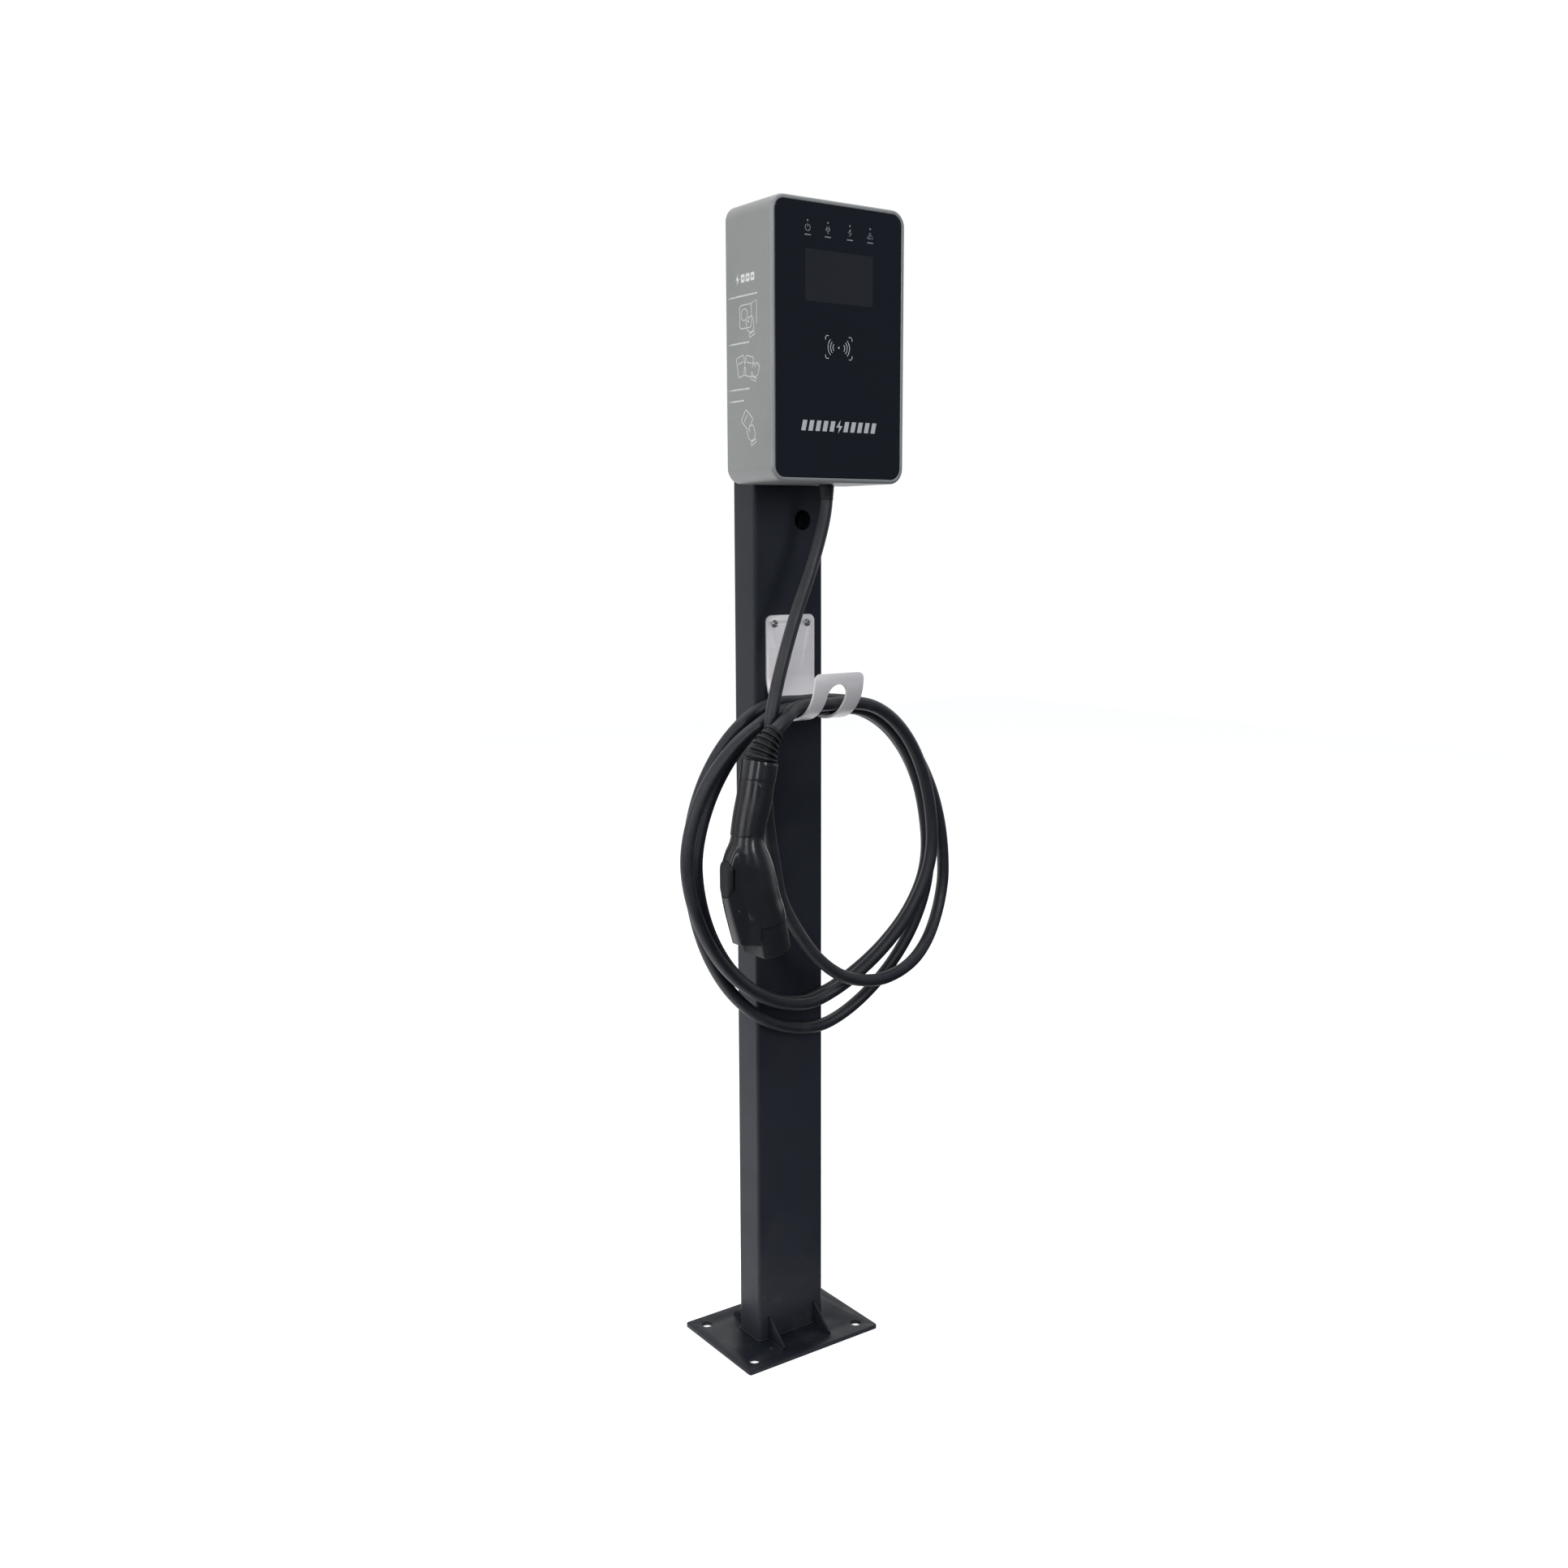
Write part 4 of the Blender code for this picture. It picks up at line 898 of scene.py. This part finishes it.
def print_contactless_mark(x, z):
    """A dot between waves to both sides, in a frame of which only the corners are drawn."""
    strokes = []
    for side in (-1, 1):
        middle = (x + side * 0.0033, z)
        facing = 0 if side > 0 else 180
        strokes += [arc(middle, radius, facing - 45, facing + 45, 14)
                    for radius in (0.005, 0.0084, 0.0118)]
        for rise in (-1, 1):
            corner = (x + side * 0.0186, z + rise * 0.0122)
            strokes.append([(corner[0] - side * inward, corner[1] - rise * down)
                            for inward, down in ((0.0045, 0), (0.0015, 0), (0, 0.0015), (0, 0.0042))])
    print_on_panel("contactless_mark", "panel_ink", strokes=strokes,
                   fills=[[circle(0.0011, (x, z), 16)]], width=0.0009)


def print_status_symbols(z):
    """Four symbols, each with a lamp above it and a bar below it."""
    lamps, bars, symbols = [], [], []
    for index, x in enumerate((-0.0441, -0.0164, 0.0141, 0.0429)):
        lamps.append([circle(0.001, (x, z + 0.0075), 14)])
        bars.append([rounded_rectangle(0.0085, 0.0011, 0.0003, (x, z - 0.0075), 2)])
        symbols += status_symbol(index, x, z)
    print_on_panel("status_symbols", "dim_ink", strokes=symbols, fills=lamps + bars, width=0.0007)


def status_symbol(index, x, z):
    """Four plain symbols: power, plug, charging and fault."""
    if index == 0:
        return [arc((x, z), 0.0034, 120, 420, 20), [(x, z + 0.0004), (x, z + 0.0042)]]
    if index == 1:
        return [[(x - 0.0014, z + 0.004), (x - 0.0014, z + 0.0016)],
                [(x + 0.0014, z + 0.004), (x + 0.0014, z + 0.0016)],
                ends_joined(arc((x, z + 0.0012), 0.0027, 180, 360, 12)),
                [(x, z - 0.0015), (x, z - 0.004)]]
    if index == 2:
        return [ends_joined(bolt_outline((x, z), 0.0085))]
    triangle = [(x - 0.0038, z - 0.003), (x + 0.0038, z - 0.003), (x, z + 0.0038)]
    return [ends_joined(triangle), [(x, z + 0.0012), (x, z - 0.0008)],
            [(x, z - 0.0016), (x, z - 0.0021)]]


def print_charge_bar(low, high):
    """A row of leaning blocks with a bolt in its middle."""
    count, step, half, lean = 11, 0.0098, 0.003, 0.0026
    blocks = []
    for index in range(count):
        x = (index - (count - 1) / 2) * step
        if index == count // 2:
            blocks.append([bolt_outline((x, (low + high) / 2), 0.015)])
            continue
        blocks.append([[(x - half - lean / 2, low), (x + half - lean / 2, low),
                        (x + half + lean / 2, high), (x - half + lean / 2, high)]])
    print_on_panel("charge_bar_mark", "panel_ink", fills=blocks)


def card(centre, turn, size=(0.015, 0.0215)):
    """A card's outline with one line across it."""
    outline = rounded_rectangle(size[0], size[1], 0.0018, steps=3)
    stripe = [(-size[0] * 0.32, size[1] * 0.18), (size[0] * 0.32, size[1] * 0.18)]
    return [shifted(line, centre, turn) for line in (ends_joined(outline), stripe)]


def hand(centre, turn, scale):
    """A plain mitten-like hand with three finger tips and a cuff."""
    finger_r = 0.001
    palm = arc((0.0, 0.0), 0.0052, 200, 340, 8) + [(0.0052, 0.005)]
    for tip in ((0.0042, 0.005), (0.0021, 0.0062), (0.0, 0.0066)):
        palm += arc(tip, finger_r, 0, 180, 5)
    palm += [(-0.0012, 0.002)] + arc((-0.004, 0.0046), 0.0013, 20, 200, 6) + [(-0.005, -0.0018)]
    cuff = [(-0.004, -0.006), (0.004, -0.006), (0.004, -0.0085), (-0.004, -0.0085)]
    return [shifted(line, centre, turn, scale) for line in (palm, ends_joined(cuff))]


def dash_row(start, z, length, seed):
    """A row of short dashes of uneven length, where a line of small print would be."""
    random = np.random.default_rng(seed)
    dashes, x = [], start
    while x < start + length:
        part = random.uniform(0.0018, 0.0042)
        dashes.append([rounded_rectangle(part, 0.0017, 0.0004, (x + part / 2, z), 2)])
        x += part + 0.0009
    return dashes


def build_side_prints():
    """Plain step-by-step pictograms on the left side. The x here is -Y of the frame."""
    mid = 0.0755
    fills = [[bolt_outline((mid - 0.019, 1.302), 0.0125)]]
    for index in range(3):
        centre = (mid - 0.0085 + 0.0095 * index, 1.302)
        fills.append([rounded_rectangle(0.0074, 0.0088, 0.0014, centre, 3),
                      rounded_rectangle(0.004, 0.002, 0.0006, centre, 3)])
    for seed, (z, length) in enumerate(((1.2835, 0.05), (1.233, 0.036), (1.183, 0.036),
                                        (1.1705, 0.024))):
        fills.append([circle(0.0009, (mid - 0.036, z), 12)])
        fills += dash_row(mid - 0.0325, z, length, seed)
    inlet = rounded_rectangle(0.023, 0.025, 0.0035, (mid - 0.0035, 1.261), 4)
    ring = circle(0.0062, (mid - 0.006, 1.263), 24)
    lead = [(mid + 0.006, 1.2735), (mid + 0.018, 1.276), (mid + 0.018, 1.251)]
    strokes = [ends_joined(inlet), ends_joined(ring), lead]
    strokes += hand((mid + 0.006, 1.25), 18, 1.35)
    strokes += card((mid - 0.013, 1.208), 12) + card((mid + 0.002, 1.207), -14)
    strokes += hand((mid + 0.015, 1.201), -20, 1.25)
    strokes += card((mid - 0.002, 1.149), 52, (0.0155, 0.018))
    strokes += hand((mid + 0.007, 1.133), 24, 1.35)
    printed("side_pictograms", "side_ink", (HOUSING_LOW.x, 0, 0), LEFT_SIDE, strokes, fills, 0.0008)


# ---- hook and screws ----
def hook_place(x, along, out):
    """Where a point of the flat blank lies once bent; out is measured from the sheet's middle."""
    straight = HOOK_HIGH.z - HOOK_BEND_Z
    if along <= straight:
        return Vector((x, HOOK_PLATE_Y + out, HOOK_HIGH.z - along))
    angle = (along - straight) / HOOK_BEND_R
    past = max(angle - HOOK_ARC, 0.0) * HOOK_BEND_R
    angle = min(angle, HOOK_ARC)
    radius = HOOK_BEND_R + out
    y = HOOK_PLATE_Y - HOOK_BEND_R + radius * math.cos(angle) - past * math.sin(angle)
    z = HOOK_BEND_Z - radius * math.sin(angle) - past * math.cos(angle)
    return Vector((x, y, z))


def build_hook():
    straight = HOOK_HIGH.z - HOOK_BEND_Z
    bend = HOOK_BEND_R * HOOK_ARC
    length = straight + bend + HOOK_LIP
    slot_r = (SLOT_RIGHT - SLOT_LEFT) / 2
    slot_x = (SLOT_RIGHT + SLOT_LEFT) / 2
    slot_start, slot_end = (straight + HOOK_BEND_R * angle for angle in HOOK_SLOT)
    slot = arc((slot_x, slot_start + slot_r), slot_r, 0, -180, 24)
    slot += arc((slot_x, slot_end - slot_r), slot_r, 180, 0, 24)
    loops = [rounded_rectangle(HOOK_W, length, HOOK_CORNER_R, (0, length / 2), 12), slot]
    for number in (1, 2):
        low, high = corners(f"hook_screw_{number}")
        centre = (low + high) / 2
        loops.append(circle(HOOK_HOLE_R, (centre.x, HOOK_HIGH.z - centre.z), 24))
    blank = slab("hook", loops, HOOK_T, (0, 0, 0), edge=0.0004, angle=40)
    work = bmesh.new()
    work.from_mesh(blank.data)
    bpy.data.objects.remove(blank, do_unlink=True)
    for station in np.linspace(straight, straight + bend, 60):
        everything = work.verts[:] + work.edges[:] + work.faces[:]
        bmesh.ops.bisect_plane(work, geom=everything, dist=1e-6, plane_co=(0, station, 0),
                               plane_no=(0, 1, 0))
    for vertex in work.verts:
        vertex.co = hook_place(*vertex.co)
    sheet = from_bmesh("hook", work, 32)
    keep(sheet, "stainless", replaces=["cable_hook"])


def socket_screw(name, node, head_radius, head_height, shank_radius, front, outwards=-1):
    """A button-head screw with a hexagon socket, its head facing -Y (or +Y with outwards=1)."""
    low, high = corners(node)
    centre = (low + high) / 2
    length = abs((high.y if outwards < 0 else low.y) - front)
    dome = [(head_radius * math.cos(a), head_height * math.sin(a))
            for a in np.linspace(0.0, math.radians(62), 8)]
    top = dome[-1][1]
    socket = head_radius * 0.42
    profile = [(shank_radius * 0.6, -length), (shank_radius, -length + 0.0008), (shank_radius, 0.0),
               *dome, (socket * 1.05, top + 0.0001)]
    loops = [level_ring(radius, (0, 0, height)) for radius, height in profile]
    for height in (top, top - head_height * 0.55):
        loops.append([(*hexagon_point(socket, 2 * math.pi * i / 48), height) for i in range(48)])
    screw = loft(name, loops, caps=True, angle=30, place=(centre.x, front, centre.z),
                 turn=Euler((math.pi / 2 * -outwards, 0, 0)))
    keep(screw, "zinc", replaces=[node])


def hexagon_point(radius, angle):
    """The point of a hexagon's outline in a direction; radius reaches its corners."""
    within = angle % (math.pi / 3) - math.pi / 6
    reach = radius * math.cos(math.pi / 6) / math.cos(within)
    return reach * math.cos(angle), reach * math.sin(angle)


def build_screws():
    hook_face = HOOK_PLATE_Y - HOOK_T / 2 - GAP
    for number in (1, 2):
        socket_screw(f"hook_bolt_{number}", f"hook_screw_{number}", 0.0045, 0.003, 0.0025, hook_face)
    for number in range(1, 5):
        socket_screw(f"cover_bolt_{number}", f"cover_screw_{number}", 0.004, 0.0024, 0.002,
                     HOUSING_HIGH.y + GAP, outwards=1)


# ---- plug ----
def plug_line(stations, spacing):
    """Smooth stations (x, z, radius), each with the direction of the line there."""
    points, _ = smooth_line(stations, spacing)
    ahead = np.gradient(points[:, :2], axis=0)
    ahead /= np.linalg.norm(ahead, axis=1)[:, None]
    return list(zip(points, ahead))


def around(point, ahead, radius, angles):
    """Points of a round section: angle 0 faces -X, 90 degrees faces the front."""
    left = Vector((ahead[1], 0, -ahead[0]))
    if left.x > 0:
        left = -left
    front = Vector((0, -1, 0))
    centre = Vector((point[0], PLUG_Y, point[1]))
    return [centre + left * (radius * math.cos(angle)) + front * (radius * math.sin(angle))
            for angle in angles]


def full_turn(steps):
    return [2 * math.pi * step / steps for step in range(steps)]


def skin(name, rows, thickness, finish, replaces=(), edge=0.00035, edge_angle=50,
         angle=32, opening=None):
    """An open patch from rows of points, thickened inwards, with rounded edges."""
    patch = loft(name, rows, closed_loops=False, angle=180)
    middle_row = rows[len(rows) // 2]
    centre = sum((Vector(point) for point in middle_row), Vector()) / len(middle_row)
    polygon = patch.data.polygons[len(patch.data.polygons) // 2]
    faces_out = polygon.normal.dot(polygon.center - centre) > 0
    wall = patch.modifiers.new("wall", "SOLIDIFY")
    wall.thickness = thickness
    wall.offset = -1 if faces_out else 1
    round_edges(patch, edge, edge_angle)
    piece = settle(patch, angle)
    if opening:
        piece = subtract(piece, opening, angle)
    return keep(piece, finish, "root", replaces)


def build_boot():
    """The ribbed strain relief: a curved cone with rings that stand proud."""
    line = plug_line(BOOT_LINE, 0.0006)
    last = len(line) - 1
    turn = full_turn(40)
    groove = 0.78                # the grooves' radius as a share of the rings'
    loops, inner = [], []
    for i, (point, ahead) in enumerate(line):
        wave = math.cos(2 * math.pi * i / last * BOOT_RIBS)
        rib = 1 / (1 + math.exp(8 * wave - 0.5))
        radius = max(point[2] * (groove + (1 - groove) * rib), CABLE_R + 0.0011)
        loops.append(around(point, ahead, radius, turn))
        if i % 6 == 0 or i == last:
            inner.append(around(point, ahead, CABLE_R + 0.0006, turn))
    boot = loft("ribbed_boot", loops + inner[::-1], closed_path=True, angle=60)
    return keep(boot, "boot", replaces=["cable_boot"])


def latch_slot():
    """A cutter for the gap in the handle, under the hood, that the lever swings through."""
    pin = (PIN_LOW + PIN_HIGH) / 2
    lever_low, lever_high = corners("latch_lever")
    outer, inner = pin.x - 0.012, pin.x + 0.004
    bottom, top = pin.z - 0.006, lever_high.z + 0.002
    outline = rounded_rectangle(inner - outer, top - bottom, 0.0005)
    centre = ((outer + inner) / 2, pin.y, (bottom + top) / 2)
    return slab("latch_slot", [outline], lever_high.y - lever_low.y + 0.002, centre, UPRIGHT, edge=0)


def build_handle():
    """Two half shells that meet in the plug's plane."""
    seam, columns = 0.00012, 25
    for name, side, node in (("handle_front", 1, "handle_front_shell"),
                             ("handle_rear", -1, "handle_rear_shell")):
        rows = [around(point, ahead, point[2],
                       side * np.linspace(seam / point[2], math.pi - seam / point[2], columns))
                for point, ahead in plug_line(HANDLE_LINE, 0.0022)]
        yield skin(name, rows, 0.0022, "gloss", [node], opening=latch_slot())


def build_collar():
    """The slightly proud collar between the boot and the grip."""
    line = plug_line(HANDLE_LINE[:2], 0.002)
    last = len(line) - 1
    turn = full_turn(48)
    loops = [around(point, ahead, point[2] + (0.0006 if 0 < i < last else 0.0002), turn)
             for i, (point, ahead) in enumerate(line)]
    for point, ahead in (line[last], line[0]):
        loops.append(around(point, ahead, point[2] - 0.0004, turn))
    collar = loft("handle_collar", loops, closed_path=True, angle=40)
    return keep(collar, "gloss")


def build_grip():
    """The softer insert on the outside of the handle's bend, over a wider dark matt strip that stands
    in for the shade in the groove around it: painted shade.
    """
    # painted shade: a dark matt strip, a little wider than the insert, in place of the shadow in the
    # groove around it
    seam = wrap_skin("grip_groove_shade", 0.00025, 0.0011, "seal")
    return [seam, wrap_skin("grip_skin", 0.0009, 0.0, "grip", ["grip_insert"])]


def wrap_skin(name, proud, wider, finish, replaces=()):
    """A patch with rounded ends that wraps the handle."""
    line = plug_line(HANDLE_LINE[1:6], 0.0018)
    rows = []
    for i, (point, ahead) in enumerate(line):
        near_end = min(i, len(line) - 1 - i) / 4
        share = math.sqrt(1 - (1 - min(near_end, 1.0)) ** 2)
        half = WRAP * (0.6 + 0.4 * share) + wider / point[2]
        rows.append(around(point, ahead, point[2] + proud, np.linspace(-half, half, 21)))
    return skin(name, rows, 0.001, finish, replaces, edge=0.00025)


def body_section(z):
    """The handle's middle in X and its radius at a height."""
    line = np.array(HANDLE_LINE[::-1])
    return np.interp(z, line[:, 1], line[:, 0]), np.interp(z, line[:, 1], line[:, 2])


def build_cover():
    """The raised cover over the latch: a boxy ridge that melts into the round head."""
    stations, _ = smooth_line(COVER_LINE, 0.0018)
    boxy, melt = 4.2, 12
    angles = np.radians(np.linspace(-54, 54, 57))
    rows = []
    for outer, z, half in stations:
        middle, radius = body_section(max(z, HANDLE_LINE[-1][1]))
        radius += 0.0004
        height = middle - outer
        row = []
        for angle in angles:
            ridge = ((math.cos(angle) / height) ** boxy + (abs(math.sin(angle)) / half) ** boxy) ** (
                -1 / boxy)
            reach = (radius ** melt + ridge ** melt) ** (1 / melt)
            row.append((middle - reach * math.cos(angle), PLUG_Y - reach * math.sin(angle), z))
        rows.append(row)
    size = BUTTON_HIGH - BUTTON_LOW
    around_button = rounded_rectangle(size.y + 0.0014, size.z + 0.0014, size.y / 2 + 0.00069,
                                      steps=12)
    cutter = slab("button_cutter", [around_button], 0.03, (BUTTON_LOW + BUTTON_HIGH) / 2, ON_SIDE,
                  edge=0)
    return skin("latch_hood", rows, 0.002, "gloss", ["latch_cover"], edge=0.0003,
                edge_angle=60, angle=35, opening=cutter)


def build_button():
    """The release button: a long oval with a softly domed, shallowly dished face."""
    size = BUTTON_HIGH - BUTTON_LOW
    centre = (BUTTON_LOW + BUTTON_HIGH) / 2
    loops = []
    for inset, share in ((0.0, 0.0), (0.0, 0.74), (0.0003, 0.86), (0.001, 0.95), (0.0022, 1.0),
                         (0.0045, 0.97), (0.0075, 0.93)):
        x = BUTTON_HIGH.x + (BUTTON_LOW.x - BUTTON_HIGH.x) * share
        outline = rounded_rectangle(size.y - 2 * inset, size.z - 2 * inset,
                                    size.y / 2 - inset - 0.00001)
        loops.append([(x + curve_back(y, z) * share, centre.y + y, centre.z + z)
                      for y, z in outline])
    button = loft("button_cap", loops, caps=True, angle=50)
    return keep(button, "matt", "button", ["release_button"])


def curve_back(y, z):
    """The button's face follows the cover: its ends and sides lie deeper than its middle."""
    return 0.0012 * (z / 0.021) ** 2 + 0.0022 * (abs(y) / 0.011) ** 2.5


def build_nose():
    """The D-shaped mouth of the plug with its rim."""
    place = Matrix.LocRotScale(NOSE_TIP, Euler((0, NOSE_TILT, 0)), None)
    wall = SHELL_WALL
    loops = []
    for inset, depth in ((0.0002, NOSE_LENGTH), (0.0, NOSE_LENGTH - 0.002), (0.0, 0.0022),
                         (-0.0003, 0.0012), (-0.0007, 0.0004), (-0.0012, 0.0),
                         (-wall + 0.0004, 0.0003), (-wall, 0.001), (-wall, NOSE_LENGTH)):
        loops.append([place @ Vector((max(x, -NOSE_FLAT - inset), y, depth))
                      for x, y in circle(NOSE_R + inset, steps=72)])
    nose = loft("nose_shroud", loops, closed_path=True, angle=30)
    return keep(nose, "matt", replaces=["connector_nose"])


def build_plug():
    return [build_boot(), *build_handle(), build_collar(), *build_grip(), build_cover(),
            build_button(), build_nose()]


# ---- cable outlet ----
def build_sleeve():
    """The rubber sleeve under the charger: it follows the cable and has shallow rings."""
    points, _ = smooth_line(DROP[:5], 0.001)
    stretch = [point for point in points if SLEEVE_LOW.z <= point[2] <= SLEEVE_HIGH.z]
    top_r, taper, rib_depth = 0.0092, 0.0011, 0.00035
    loops = []
    for i, point in enumerate(stretch):
        share = i / (len(stretch) - 1)
        rib = rib_depth * (1 + math.cos(2 * math.pi * share * SLEEVE_RIBS)) / 2
        loops.append(level_ring(top_r - taper * ease(share) - rib * (1 - share), point, 40))
    inner = [level_ring(CABLE_R + 0.0002, point, 40) for point in stretch[::-1]]
    sleeve = loft("outlet_sleeve", loops + inner, closed_path=True, angle=60)
    keep(sleeve, "boot", replaces=["gland_sleeve"])


# ---- CAD nodes that stay ----
def numbered(name, count):
    return [f"{name}_{number}" for number in range(1, count + 1)]


STAYS = {
    "post": ["post_tube"],
    "silver": ["rear_cover"],
    "matt": ["supply_conduit", "gland_body", "gland_nut", "latch_lever"],
    "seal": ["panel_gasket"],
    "zinc": ["mounting_bracket", *numbered("mounting_screw", 4), *numbered("board_standoff", 4),
             "latch_pin", "latch_spring"],
    "board": ["main_board", "card_reader_board"],
    "component": ["power_relay", "leakage_sensor", "terminal_block", "display_module",
                  "indicator_light_bar", "contact_carrier"],
    "contact": numbered("contact", 7),
}


def finish_cad_nodes():
    for finish, names in STAYS.items():
        for name in names:
            set_material(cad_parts[name], finish)


# ---- everything ----
add_camera()
add_stage()
cable, cable_length = build_cable()
finish_cad_nodes()
build_foot()
build_post_cap()
build_housing()
build_panel()
build_panel_prints()
build_side_prints()
build_hook()
build_screws()
plug_pieces = build_plug()
build_sleeve()
